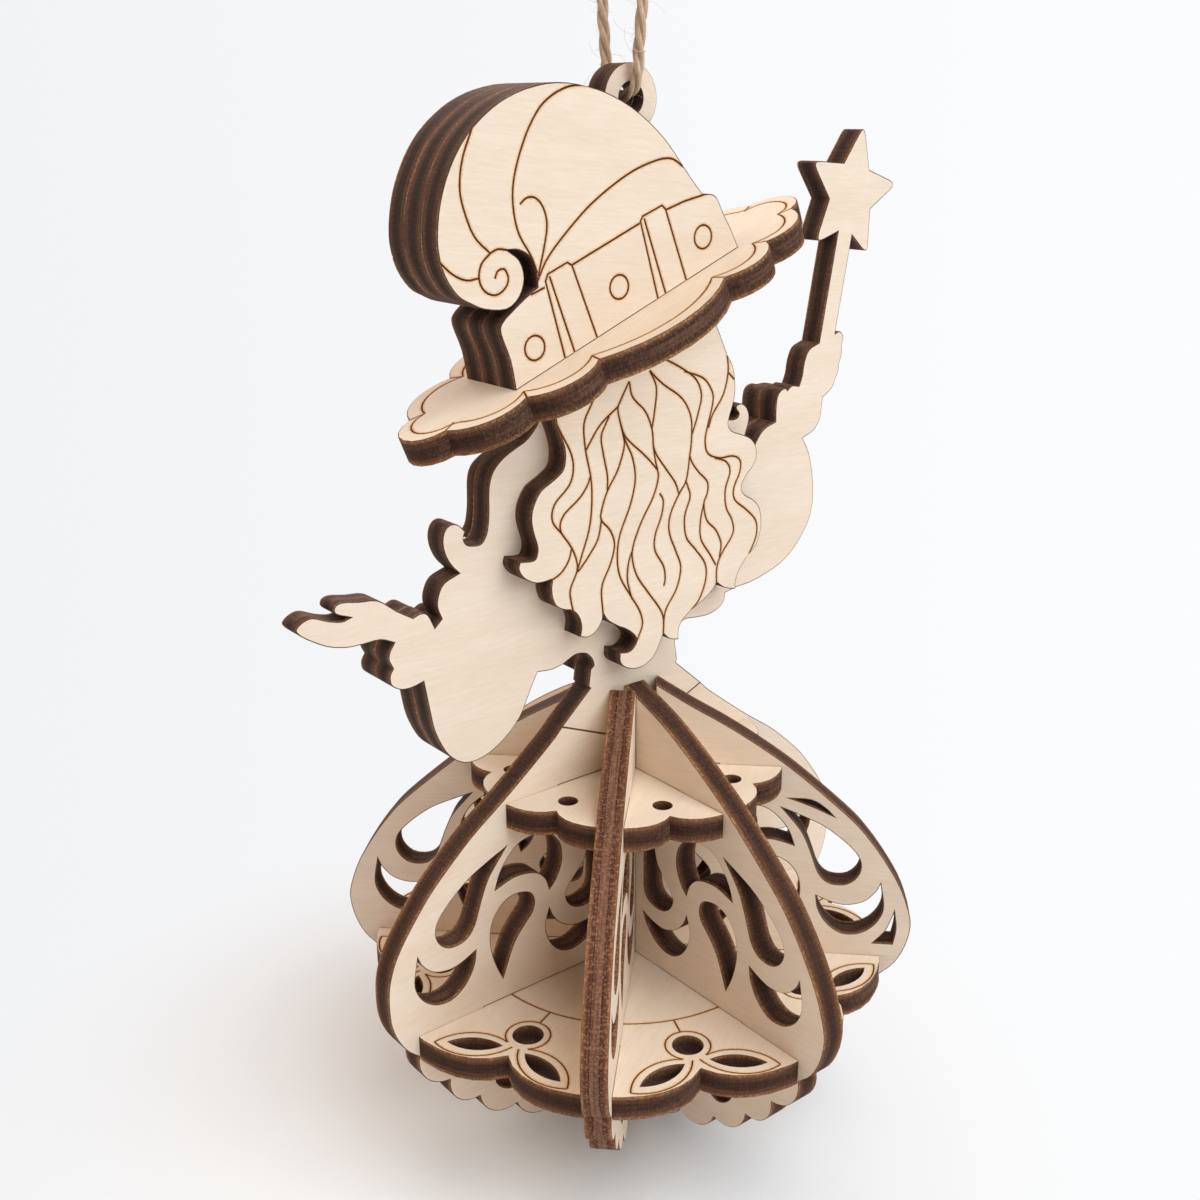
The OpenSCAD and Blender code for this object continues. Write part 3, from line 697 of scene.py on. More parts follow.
def bow(a: Point, b: Point, sag: float, count: int = 12) -> list[Point]:
    """An arc between two points, both included.

    Args:
        a: The start, in millimetres.
        b: The end.
        sag: How far the arc bulges to the left of the way.
        count: The number of steps.

    Returns:
        The arc's points.
    """
    start, end = Vector(a), Vector(b)
    half = (end - start).length / 2
    radius = (half * half + sag * sag) / (2 * abs(sag))
    way = (end - start).normalized()
    side = Vector((-way.y, way.x)) * math.copysign(1.0, sag)
    middle = (start + end) / 2 + (abs(sag) - radius) * side
    open_half = math.asin(min(1.0, half / radius))
    points = []
    for k in range(count + 1):
        turn = open_half * (2 * k / count - 1)
        q = middle + radius * (math.cos(turn) * side + math.sin(turn) * way)
        points.append((q.x, q.y))
    return points


@dataclass(frozen=True)
class Stroke:
    """One engraved line on one side of a sheet."""

    points: tuple[Point, ...]
    side: Face = Face.OUT
    closed: bool = False
    width: float = LINE_W
    depth: float = 0.16


def stroke(points: Line, side: Face = Face.OUT) -> Stroke:
    """A smooth engraved line through points."""
    return Stroke(tuple(smooth(points)), side)


def arc(points: Line, side: Face = Face.OUT, closed: bool = False, width: float = LINE_W) -> Stroke:
    """An engraved line through points that are dense already."""
    return Stroke(tuple(points), side, closed, width)


@dataclass(frozen=True)
class SheetPlane:
    """Where a sheet lies: its drawing's zero in the middle of the sheet, and three ways."""

    zero: Vector
    right: Vector
    up: Vector
    outward: Vector
    grain_turn: float = 0.0

    def face(self, side: Face) -> Matrix:
        """The place of a drawing on one side of the sheet.

        Args:
            side: The side of the sheet.

        Returns:
            What takes a drawing's millimetres to metres of the row frame.
        """
        out = self.outward * side.value
        spot = self.zero + HALF_T * out
        rows = [(self.right[i] * MM, self.up[i] * MM, out[i] * MM, spot[i] * MM) for i in range(3)]
        return Matrix((*rows, (0.0, 0.0, 0.0, 1.0)))

    def place(self, point: Vector, shift: Point) -> Triple:
        """A point's place along the grain, across it and through the sheet.

        Args:
            point: The point in metres.
            shift: How far this piece's grain is moved, in millimetres.

        Returns:
            Millimetres along and across the grain, and -1 to 1 through the sheet.
        """
        d = point / MM - self.zero
        r, u = d.dot(self.right), d.dot(self.up)
        c, s = math.cos(self.grain_turn), math.sin(self.grain_turn)
        return (c * r + s * u + shift[0], c * u - s * r + shift[1], d.dot(self.outward) / HALF_T)


def upright(level: float, grain_turn: float = 0.0) -> SheetPlane:
    """A sheet of the figure, with its middle that far behind the figure's own."""
    return SheetPlane(DRAWN_ZERO + level * BACK, RIGHT, UP, BACK, grain_turn)


def linked(name: str, data: Any) -> Object:
    """Makes an object and links it to the scene.

    Args:
        name: The object's name.
        data: Its mesh, curve, lamp or camera.

    Returns:
        The object.
    """
    made = bpy.data.objects.new(name, data)
    bpy.context.scene.collection.objects.link(made)
    return made


def plain_mesh(holder: Object) -> Mesh:
    """The mesh that an object's modifiers make, by itself.

    Args:
        holder: The object.

    Returns:
        A mesh of its own.
    """
    depsgraph = bpy.context.evaluated_depsgraph_get()
    depsgraph.update()
    return bpy.data.meshes.new_from_object(holder.evaluated_get(depsgraph), depsgraph=depsgraph)


def grow(tree: Tree, points: Iterable[Triple], values: dict[str, float], closed: bool = False) -> Mesh:
    """Runs a geometry tree along a straight-sided line.

    Args:
        tree: The tree, whose first input is the line.
        points: The line's points.
        values: The tree's other inputs by name.
        closed: Whether the line comes back to its start.

    Returns:
        The mesh that the tree makes.
    """
    data = bpy.data.curves.new("tree_way", "CURVE")
    data.dimensions = "3D"
    spline = data.splines.new("POLY")
    places = list(points)
    spline.points.add(len(places) - 1)
    for spot, place in zip(spline.points, places):
        spot.co = (*place, 1.0)
    spline.use_cyclic_u = closed
    holder = linked("tree_way", data)
    runner = holder.modifiers.new("grow", "NODES")
    runner.node_group = tree
    keys = {s.name: s.identifier for s in tree.interface.items_tree if s.in_out == "INPUT"}
    for name, value in values.items():
        runner[keys[name]] = value
    mesh = plain_mesh(holder)
    bpy.data.objects.remove(holder)
    return mesh


def outward_faces(mesh: Mesh) -> None:
    """Merges a closed mesh's doubles and turns its faces outwards.

    Args:
        mesh: The mesh.
    """
    work = bmesh.new()
    work.from_mesh(mesh)
    bmesh.ops.remove_doubles(work, verts=work.verts, dist=1e-7)
    bmesh.ops.recalc_face_normals(work, faces=work.faces)
    work.to_mesh(mesh)
    work.free()


class EngravingBit:
    """The bit that scores lines: a kite swept along each line by a node tree."""

    def __init__(self, finish: Material) -> None:
        """Builds the tree once.

        Args:
            finish: The material that the cut takes.
        """
        takes = {"Line": "Geometry", "Width": "Float", "Depth": "Float", "Lift": "Float"}
        tree, (line, width, depth, lift) = new_group("engraving_bit", "GeometryNodeTree", takes,
                                                     ("Bit",), "Geometry")
        level = put(tree, "GeometryNodeSetCurveNormal", {"mode": "Z_UP"}, Curve=line)
        kite = put(tree, "GeometryNodeCurvePrimitiveQuadrilateral", {"mode": "KITE"}, Width=width,
                   Bottom_Height=depth, Top_Height=lift)
        give_out(tree, "Bit", swept_along(tree, level.outputs[0], kite.outputs[0]), finish)
        self.tree = tree

    def swept(self, line: Stroke, plane: SheetPlane, width: float, depth: float) -> Object:
        """Sweeps the bit along one line.

        Args:
            line: The line on its drawing.
            plane: The sheet that it is on.
            width: Width of the cut at the surface.
            depth: Depth of the cut.

        Returns:
            An object whose mesh is the cut, in the row frame.
        """
        mesh = grow(self.tree, [(x, y, 0.0) for x, y in line.points],
                    {"Width": width, "Depth": depth, "Lift": depth}, line.closed)
        place = plane.face(line.side)
        mesh.transform(place)
        if place.determinant() < 0:
            mesh.flip_normals()
        outward_faces(mesh)
        return linked("bit_cut", mesh)


@dataclass
class PlySheet:
    """One piece cut from the sheet, in place of its CAD node."""

    node: str
    plane: SheetPlane
    lines: Sequence[Stroke] = ()
    shift: Point = (0.0, 0.0)
    edge: EdgeLook = EdgeLook.SOOTY
    rim: float = 0.11
    rim_depth: float = 0.035
    halo_width: float = 0.64
    halo_depth: float = 0.02
    weld: float = 0.002
    fine_weld: float = 0.0005
    level_angle: float = 0.15
    crease: float = 28.0
    rim_skip: float = 0.005
    rim_reach: float = 1.2
    wall_below: float = 0.3
    side_above: float = 0.95
    face_above: float = 0.995

    def blank(self, palette: Palette) -> Object:
        """Copies the node's mesh, merges it and breaks its rims.

        Args:
            palette: The finishes.

        Returns:
            The linked blank.
        """
        mesh = bpy.data.meshes.new(self.node + "_sheet")
        work = bmesh.new()
        work.from_mesh(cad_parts[self.node].data)
        bmesh.ops.remove_doubles(work, verts=work.verts, dist=self.weld * MM)
        bmesh.ops.dissolve_limit(work, angle_limit=math.radians(self.level_angle), verts=work.verts,
                                 edges=work.edges)
        work.normal_update()
        rims = [e for e in work.edges if len(e.link_faces) == 2 and self.is_rim(e)]
        bmesh.ops.bevel(work, geom=rims, offset=self.rim * MM, offset_type="OFFSET", segments=1, profile=0.5,
                        affect="EDGES", clamp_overlap=True)
        self.flatten_rims(work)
        bmesh.ops.triangulate(work, faces=work.faces)
        bmesh.ops.remove_doubles(work, verts=work.verts, dist=self.fine_weld * MM)
        loose = sum(1 for e in work.edges if not e.is_manifold)
        if loose:
            LOG.warning("%s has %d open edges", self.node, loose)
        work.to_mesh(mesh)
        work.free()
        if mesh.has_custom_normals:
            mesh.attributes.remove(mesh.attributes["custom_normal"])
        for finish in (palette.face, palette.edges[self.edge]):
            mesh.materials.append(finish)
        return linked(self.node + "_blank", mesh)

    def flatten_rims(self, work: bmesh.types.BMesh) -> None:
        """Brings the broken rims' lower lines nearer to the sides of the sheet.

        Args:
            work: The sheet's mesh.
        """
        for vertex in work.verts:
            level = (vertex.co / MM - self.plane.zero).dot(self.plane.outward)
            below = HALF_T - abs(level)
            if self.rim_skip < below < self.rim_reach * self.rim:
                lift = below * (1.0 - self.rim_depth / self.rim)
                vertex.co += self.plane.outward * math.copysign(lift * MM, level)

    def is_rim(self, edge: bmesh.types.BMEdge) -> bool:
        """Whether an edge lies between a side of the sheet and a cut wall."""
        flat = sorted(abs(f.normal.dot(self.plane.outward)) for f in edge.link_faces)
        return flat[0] < self.wall_below and flat[1] > self.side_above

    def build(self, bit: EngravingBit, palette: Palette) -> Object:
        """Makes the finished piece, sets it on the figure and hides its CAD node.

        Args:
            bit: The engraving bit.
            palette: The finishes.

        Returns:
            The piece.
        """
        blank = self.blank(palette)
        cuts = []
        for line in self.lines:
            cuts.append(bit.swept(line, self.plane, self.halo_width, self.halo_depth))
            cuts.append(bit.swept(line, self.plane, line.width, line.depth))
        for cut in cuts:
            score = blank.modifiers.new("score", "BOOLEAN")
            score.operation = "DIFFERENCE"
            score.solver = "MANIFOLD"
            score.material_mode = "TRANSFER"
            score.object = cut
        mesh = plain_mesh(blank)
        for used in (blank, *cuts):
            bpy.data.objects.remove(used)
        piece = linked(self.node + "_ply", mesh)
        self.dress(mesh)
        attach(piece, Body.FIGURE.value)
        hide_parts(self.node)
        LOG.info("%s: %d faces, %d lines", piece.name, len(mesh.polygons), len(self.lines))
        return piece

    def dress(self, mesh: Mesh) -> None:
        """Sorts the faces into their finishes and stores each point's place on the sheet.

        Args:
            mesh: The piece's mesh.
        """
        scored = {i for i, finish in enumerate(mesh.materials) if finish.name == LINE_FINISH}
        for polygon in mesh.polygons:
            if polygon.material_index in scored:
                continue
            flat = abs(polygon.normal.dot(self.plane.outward))
            polygon.material_index = 0 if flat > self.face_above else 1
        turn = self.plane.grain_turn
        grain = math.cos(turn) * self.plane.right + math.sin(turn) * self.plane.up
        ends = mesh.attributes.new(END_GRAIN, "FLOAT", "CORNER")
        for polygon in mesh.polygons:
            flat = polygon.normal - polygon.normal.dot(self.plane.outward) * self.plane.outward
            share = abs(flat.normalized().dot(grain)) if flat.length > 1e-6 else 0.0
            for corner in polygon.loop_indices:
                ends.data[corner].value = share
        places = mesh.attributes.new(PLACE, "FLOAT_VECTOR", "POINT")
        for vertex in mesh.vertices:
            places.data[vertex.index].vector = self.plane.place(vertex.co, self.shift)
        mesh.set_sharp_from_angle(angle=math.radians(self.crease))
        mesh.polygons.foreach_set("use_smooth", [p.material_index == 1 for p in mesh.polygons])


# Sub-assemblies


@dataclass
class Hat:
    """The hat: three layers of one outline on a sloping scalloped brim."""

    brim_at: Point = (2.25, 80.0)
    brim_tilt: float = 21.9
    brim_l: float = 58.5
    brim_w: float = 24.2
    brim_inset: float = 1.75
    brim_core: float = 0.8
    scallop_h: float = 2.1
    stud_r: float = 1.27
    brim_line_w: float = 0.25
    notch_line_w: float = 0.24
    notches: tuple[Point, ...] = ((0.892, 0.281), (0.615, 0.587), (0.321, 0.736))

    def band(self, side: Face) -> list[Stroke]:
        """The hat band with its straps and studs, on one side of a layer.

        Args:
            side: The side of the layer.

        Returns:
            The engraved lines.
        """
        studs = [(15.9, 77.6), (4.7, 82.9), (-7.2, 87.4)]
        lines = [arc(circle(s, self.stud_r), side, closed=True) for s in studs]
        for way in (
            [(16.3, 83.0), (14.5, 83.6)],
            [(11.0, 85.6), (1.9, 89.3)],
            [(-1.7, 90.5), (-4.4, 91.3), (-7.4, 91.9)],
            [(11.9, 75.8), (14.4, 84.2), (14.1, 84.9), (11.6, 85.9), (11.0, 85.6), (7.6, 77.6)],
            [(10.6, 76.3), (13.9, 84.7)],
            [(-0.85, 80.9), (1.8, 89.5), (1.5, 90.0), (-1.2, 91.0), (-1.7, 90.6), (-5.0, 82.5)],
            [(-2.0, 81.3), (1.3, 89.8)],
        ):
            lines.append(arc(way, side))
        return lines

    def folds(self, side: Face) -> list[Stroke]:
        """The crown's folds and the curl at its tip, on one side of a layer.

        Args:
            side: The side of the layer.

        Returns:
            The engraved lines.
        """
        ways = (
            [(22.75, 99.2), (24.0, 96.3), (24.4, 93.7), (24.0, 91.6), (22.9, 89.1), (21.1, 87.4)],
            [(21.1, 87.4), (20.2, 87.75), (19.1, 87.6)],
            [(21.1, 87.4), (22.2, 86.4), (22.5, 85.0), (21.9, 83.8), (20.6, 83.3), (19.4, 83.9),
             (19.0, 84.9), (19.5, 85.8), (20.3, 85.6), (20.6, 84.9)],
            [(27.2, 87.1), (25.6, 85.7), (24.0, 85.0), (22.5, 85.1)],
            [(7.6, 103.0), (11.1, 102.9), (14.0, 101.6), (15.8, 99.6), (17.2, 96.9), (18.1, 94.1),
             (18.2, 91.6), (17.6, 89.1), (16.1, 86.75), (15.4, 85.1)],
            [(17.4, 91.9), (16.5, 92.5), (15.4, 92.4), (14.5, 91.4), (14.1, 89.8), (14.5, 87.6),
             (15.3, 84.8)],
            [(15.4, 84.3), (14.0, 86.6), (11.1, 89.4), (7.9, 91.9), (3.6, 94.3), (0.1, 95.5),
             (-2.4, 95.75), (-4.3, 94.8)],
        )
        return [stroke(way, side) for way in ways]

    def brim_line(self) -> list[Stroke]:
        """The line inside the brim's scallops, and a short cut at each notch.

        Returns:
            The engraved lines.
        """
        half = Vector((self.brim_l / 2, self.brim_w / 2))
        corners: list[tuple[Point, float]] = []
        # A notch, its two signs and the sag of the scallop after it
        steps = [(0, 1, 1, (1 - self.notches[0][0]) * half.x), (0, 1, -1, self.scallop_h),
                 (1, 1, -1, self.scallop_h), (2, 1, -1, (1 - self.notches[2][1]) * half.y),
                 (2, -1, -1, self.scallop_h), (1, -1, -1, self.scallop_h)]
        for turn in (1, -1):
            for i, sx, sy, sag in steps:
                at = (turn * sx * self.notches[i][0] * half.x, turn * sy * self.notches[i][1] * half.y)
                corners.append((at, sag))
        inner = [self.inset(at) for at, _ in corners]
        ring: list[Point] = []
        for k, (_, sag) in enumerate(corners):
            ring.extend(bow(inner[k], inner[(k + 1) % len(inner)], sag)[:-1])
        strokes = [arc(ring, closed=True, width=self.brim_line_w)]
        for (at, _), spot in zip(corners, inner):
            strokes.append(arc([at, spot], width=self.notch_line_w))
        return strokes

    def inset(self, at: Point) -> Point:
        """A notch of the brim moved in towards the brim's long middle line.

        Args:
            at: The notch on the brim's drawing.

        Returns:
            The moved point.
        """
        reach = self.brim_l / 2 - self.brim_w / 2
        core = Vector((max(-reach, min(reach, self.brim_core * at[0])), 0.0))
        way = (core - Vector(at)).normalized() * self.brim_inset
        return (at[0] + way.x, at[1] + way.y)

    def sheets(self) -> list[PlySheet]:
        """The hat's four sheets.

        Returns:
            The sheets with their lines.
        """
        tilt = math.radians(self.brim_tilt)
        slope = Vector((math.cos(tilt), 0.0, -math.sin(tilt)))
        out = Vector((math.sin(tilt), 0.0, math.cos(tilt)))
        top = DRAWN_ZERO + Vector((self.brim_at[0], 0.0, self.brim_at[1]))
        brim = SheetPlane(top - HALF_T * out, slope, BACK, out, 0.1)
        back = [*self.band(Face.OUT), *self.folds(Face.OUT)]
        front = [*self.band(Face.IN), *self.folds(Face.IN)]
        return [
            PlySheet("hat_core", upright(0.0, 0.05), shift=(310.0, 40.0)),
            PlySheet("hat_back", upright(PLY_T, 0.1), back, shift=(0.0, 15.0)),
            PlySheet("hat_front", upright(-PLY_T, 0.03), front, shift=(120.0, 80.0)),
            PlySheet("hat_brim", brim, self.brim_line(), (60.0, 150.0), EdgeLook.TOASTED),
        ]


@dataclass
class Figure:
    """The figure: a core sheet with layers of hair and dress on both sides."""

    face_at: Point = (1.9, 61.5)
    eye_apart: float = 7.2
    eye_r: float = 1.25
    pupil_share: float = 0.45
    cheek_at: Point = (5.7, -3.4)
    cheek_r: float = 1.05
    laces: int = 3
    lace_top: float = 46.0
    lace_step: float = 2.3
    lace_half: float = 1.3
    lace_drop: float = 1.9
    star_points: int = 5
    star_at: Point = (-34.4, 90.8)
    star_r: float = 5.2
    star_notch_r: float = 2.5
    star_turn: float = 101.5

    def locks(self) -> list[Stroke]:
        """The strands of the hair behind the head.

        Returns:
            The engraved lines.
        """
        ways = (
            [(13.3, 69.4), (12.6, 68.1), (11.4, 65.9), (11.1, 64.1), (11.7, 62.4), (13.7, 60.6),
             (14.0, 58.8), (12.8, 57.2), (11.5, 55.4), (10.8, 53.8), (10.75, 52.5), (11.7, 50.6),
             (11.6, 49.1), (11.3, 47.9)],
            [(8.2, 71.4), (8.7, 70.6), (9.6, 68.8), (9.4, 65.9), (8.7, 62.7), (8.6, 59.9), (9.0, 57.0),
             (10.1, 54.1), (10.75, 52.4)],
            [(4.75, 70.2), (7.4, 68.4), (9.3, 66.0)],
            [(11.45, 55.3), (11.85, 54.0), (12.7, 52.95), (13.4, 52.5), (14.2, 52.2)],
            [(8.75, 63.0), (9.2, 62.0), (10.3, 60.75), (12.4, 59.3), (13.0, 58.1), (12.8, 57.2)],
            [(6.1, 69.25), (6.75, 68.2), (7.25, 67.0), (6.9, 64.9), (6.4, 62.7), (6.4, 60.9)],
            [(3.3, 72.7), (4.6, 70.6), (4.9, 69.7), (4.2, 67.0), (4.0, 65.6), (4.9, 63.1), (6.4, 60.9),
             (7.25, 58.8), (7.25, 57.7), (6.0, 56.3), (5.4, 54.5), (6.0, 52.4), (7.25, 49.9),
             (7.1, 46.8)],
            [(7.25, 57.7), (7.8, 55.6), (9.2, 53.8), (10.6, 52.4)],
            [(3.3, 72.7), (2.8, 70.9), (1.0, 69.1), (0.0, 67.0), (-0.25, 64.9), (-0.6, 63.1),
             (-1.0, 61.3), (-0.25, 59.1), (1.4, 56.6), (2.6, 54.1), (2.8, 52.4), (2.1, 50.2),
             (0.6, 48.1), (-1.3, 45.6), (-2.0, 44.1), (-2.0, 42.2)],
            [(4.3, 67.4), (3.8, 66.1), (2.8, 64.1), (2.4, 61.6), (3.1, 58.8), (4.6, 55.6), (5.0, 53.1),
             (4.6, 50.6), (3.1, 48.1), (1.7, 45.9), (1.25, 44.1), (2.1, 42.2)],
            [(4.5, 68.2), (4.0, 66.9), (3.1, 65.9), (1.0, 64.1), (-0.3, 62.8), (-0.8, 62.2)],
            [(2.72, 53.5), (3.35, 52.0), (3.5, 49.9), (2.8, 47.5)],
            [(0.4, 73.6), (-0.6, 71.6), (-0.4, 69.1), (0.0, 67.0)],
            [(0.4, 73.6), (-0.4, 72.8), (-1.9, 71.6), (-4.4, 69.9), (-5.8, 67.7), (-6.0, 65.2),
             (-5.7, 62.7), (-5.25, 60.2), (-4.2, 58.8), (-2.9, 56.6), (-2.75, 54.5), (-3.8, 52.0),
             (-4.6, 49.9), (-4.0, 47.4), (-2.4, 45.2), (-2.0, 43.4)],
            [(-0.25, 64.9), (-0.8, 63.8), (-2.2, 62.0), (-3.6, 60.2), (-4.2, 58.7)],
            [(-2.0, 74.5), (-4.4, 73.25), (-6.5, 71.8), (-7.4, 69.9), (-6.9, 67.7), (-6.1, 65.6)],
            [(-4.7, 72.9), (-7.6, 71.8), (-9.0, 70.2), (-9.2, 68.8), (-8.5, 66.3), (-8.1, 64.5),
             (-8.6, 62.9), (-10.4, 62.1), (-12.6, 62.0), (-13.8, 61.3), (-13.8, 59.9), (-12.9, 58.1),
             (-13.1, 56.6), (-15.1, 55.0), (-16.7, 53.4), (-16.9, 51.6), (-16.1, 49.9), (-15.2, 48.6),
             (-14.4, 47.7)],
            [(-11.3, 74.1), (-11.5, 72.0), (-10.8, 69.5), (-9.2, 67.4), (-8.6, 65.9)],
            [(-11.5, 72.0), (-12.5, 71.1)],
            [(-9.7, 62.2), (-11.5, 61.5), (-12.2, 60.2), (-11.5, 58.1), (-11.7, 55.9), (-12.75, 54.1),
             (-12.9, 52.4), (-11.1, 50.2), (-10.4, 48.6), (-10.4, 46.8)],
            [(-5.75, 63.0), (-6.2, 62.1), (-7.2, 60.9), (-8.6, 59.5), (-8.6, 58.1), (-8.1, 57.0),
             (-8.6, 54.9), (-10.1, 53.4), (-11.0, 51.6), (-10.8, 49.9)],
            [(-8.1, 57.0), (-7.6, 54.9), (-7.75, 52.7), (-9.2, 50.6), (-10.25, 49.0)],
            [(-5.15, 60.3), (-5.6, 59.3), (-5.9, 58.1), (-5.1, 55.9), (-5.4, 53.4), (-6.9, 51.6),
             (-8.5, 49.5), (-8.6, 47.4), (-7.6, 45.2), (-6.3, 44.1)],
            [(-1.2, 59.4), (-1.8, 58.4), (-1.5, 56.6), (-0.6, 54.5), (-0.6, 52.7), (-1.9, 50.6),
             (-2.2, 49.1), (-2.0, 48.1)],
        )
        return [stroke(way) for way in ways]

    def face(self) -> list[Stroke]:
        """A plain doll's face, with a jaw and a neck.

        Returns:
            The engraved lines.
        """
        at = Vector(self.face_at)
        half = (
            [(0.0, -8.1), (2.6, -7.7), (5.3, -6.1), (7.7, -3.3), (8.6, -0.2)],
            [(2.2, -7.9), (2.2, -9.8), (3.2, -11.6)],
            [(2.1, 3.1), (3.6, 3.8), (5.3, 3.0)],
            [(4.75, 0.9), (5.6, 1.5)],
            [(4.3, 1.35), (4.9, 2.1)],
        )
        middle = (
            [(-2.5, -4.9), (-1.3, -5.7), (0.0, -6.0), (1.3, -5.7), (2.5, -4.9)],
            [(-0.6, -2.7), (0.0, -3.1), (0.6, -2.7)],
        )
        lines = [stroke([(at.x + x, at.y + z) for x, z in way], Face.IN) for way in middle]
        for s in (1, -1):
            lines += [stroke([(at.x + s * x, at.y + z) for x, z in way], Face.IN) for way in half]
            eye = (at.x + s * self.eye_apart / 2, at.y)
            lines.append(arc(circle(eye, self.eye_r), Face.IN, closed=True))
            lines.append(arc(circle(eye, self.pupil_share * self.eye_r, step=0.2), Face.IN, closed=True))
            cheek = (at.x + s * self.cheek_at[0], at.y + self.cheek_at[1])
            lines.append(arc(circle(cheek, self.cheek_r), Face.IN, closed=True))
        return lines

    def front_locks(self) -> list[Stroke]:
        """The strands of the hair round the face.

        Returns:
            The engraved lines.
        """
        ways = (
            [(2.2, 71.9), (1.9, 73.8), (2.0, 76.0)],
            [(10.6, 73.2), (10.5, 70.4), (12.3, 67.4), (14.9, 65.3), (16.7, 63.4), (17.3, 61.0),
             (17.4, 58.4)],
            [(7.4, 74.2), (8.9, 71.0), (11.2, 67.8), (13.2, 65.0), (14.4, 62.6), (14.9, 60.0)],
            [(4.6, 75.0), (7.2, 71.6), (10.3, 68.4), (12.1, 65.6), (12.3, 62.6), (12.0, 59.6)],
            [(0.5, 76.6), (-1.6, 72.4), (-5.0, 69.6), (-7.8, 66.8), (-8.8, 63.6), (-8.5, 60.4)],
            [(-2.6, 77.8), (-4.5, 73.6), (-7.4, 70.2), (-9.8, 67.2), (-10.9, 64.0), (-11.2, 60.6)],
            [(-5.4, 78.8), (-7.1, 74.8), (-9.3, 71.2), (-11.1, 68.2), (-12.3, 65.0), (-12.6, 61.2)],
        )
        return [stroke(way, Face.IN) for way in ways]

    def bodice(self) -> list[Stroke]:
        """The bodice's neck trim, seams, belt and laces.

        Returns:
            The engraved lines.
        """
        lines = [stroke([(8.2, 51.3), (5.7, 49.6), (2.9, 47.95), (0.0, 47.3), (-2.9, 47.95), (-5.7, 49.6),
                         (-8.2, 51.3)], Face.IN),
                 stroke([(6.3, 40.0), (3.3, 39.4), (0.0, 39.2), (-3.3, 39.4), (-6.3, 40.0)], Face.IN)]
        for s in (1, -1):
            seam = [(s * 7.0, 49.6), (s * 5.5, 46.0), (s * 4.2, 42.4), (s * 3.6, 39.5)]
            lines.append(stroke(seam, Face.IN))
            lines.append(arc([(s * 1.7, 47.4), (s * 1.4, 39.4)], Face.IN))
            for k in range(self.laces):
                top = self.lace_top - self.lace_step * k
                ends = [(s * self.lace_half, top), (-s * self.lace_half, top - self.lace_drop)]
                lines.append(arc(ends, Face.IN))
        return lines

    @staticmethod
    def sleeves() -> tuple[list[Stroke], list[Stroke]]:
        """The cuffs, gathers and hems of the two sleeves' fronts.

        Returns:
            The engraved lines of the left sleeve and of the right one.
        """
        left = (
            [(28.3, 48.5), (28.9, 46.8), (28.9, 45.0), (28.6, 43.2)],
            [(28.6, 47.4), (25.8, 47.6), (23.2, 46.9)],
            [(28.8, 45.8), (26.1, 44.9), (23.6, 43.4)],
            [(28.7, 44.2), (26.9, 42.2), (25.5, 39.6)],
            [(13.0, 52.6), (15.2, 51.3), (17.5, 50.7)],
            [(12.2, 50.0), (14.8, 48.6), (17.1, 47.7)],
            [(12.4, 47.2), (14.4, 45.7), (16.2, 44.4)],
            [(16.2, 40.0), (18.7, 36.8), (21.2, 34.9), (23.0, 34.7), (24.8, 36.2), (26.0, 38.6)],
        )
        right = (
            [(-22.7, 64.0), (-25.2, 63.5), (-27.5, 61.6)],
            [(-23.6, 63.7), (-23.1, 61.1), (-22.0, 58.8)],
            [(-25.2, 63.2), (-25.3, 60.4), (-24.7, 57.8)],
            [(-26.7, 62.2), (-27.1, 59.5), (-26.9, 57.0)],
            [(-17.0, 58.2), (-18.7, 56.7), (-20.5, 56.0)],
            [(-16.2, 55.0), (-18.6, 53.6), (-20.3, 52.7)],
            [(-16.0, 51.6), (-18.2, 50.6), (-19.9, 49.5)],
            [(-28.0, 54.2), (-27.3, 51.5), (-25.8, 49.3), (-23.7, 47.8), (-21.1, 46.8), (-18.2, 46.5)],
        )
        return [stroke(way, Face.IN) for way in left], [stroke(way, Face.IN) for way in right]

    def star(self) -> list[Stroke]:
        """A smaller star inside the wand's star.

        Returns:
            The engraved lines.
        """
        points = []
        for k in range(2 * self.star_points):
            radius = self.star_r if k % 2 == 0 else self.star_notch_r
            turn = math.radians(self.star_turn + 180.0 / self.star_points * k)
            points.append((self.star_at[0] + radius * math.cos(turn),
                           self.star_at[1] + radius * math.sin(turn)))
        return [arc(points, Face.IN, closed=True)]

    def sheets(self) -> list[PlySheet]:
        """The figure's six sheets.

        Returns:
            The sheets with their lines.
        """
        sleeve_left, sleeve_right = self.sleeves()
        return [
            PlySheet("figure_core", upright(0.0, 0.02), [*self.face(), *self.star()], shift=(40.0, 210.0)),
            PlySheet("hair_back", upright(PLY_T, 0.05), self.locks(), shift=(220.0, 300.0)),
            PlySheet("hair_front", upright(-PLY_T, 0.03), self.front_locks(), shift=(20.0, 260.0)),
            PlySheet("bodice_front", upright(-PLY_T, 0.0), self.bodice(), shift=(90.0, 330.0)),
            PlySheet("sleeve_left_front", upright(-PLY_T, 0.3), sleeve_left, shift=(170.0, 60.0)),
            PlySheet("sleeve_right_front", upright(-PLY_T, -0.2), sleeve_right, shift=(250.0, 140.0)),
        ]


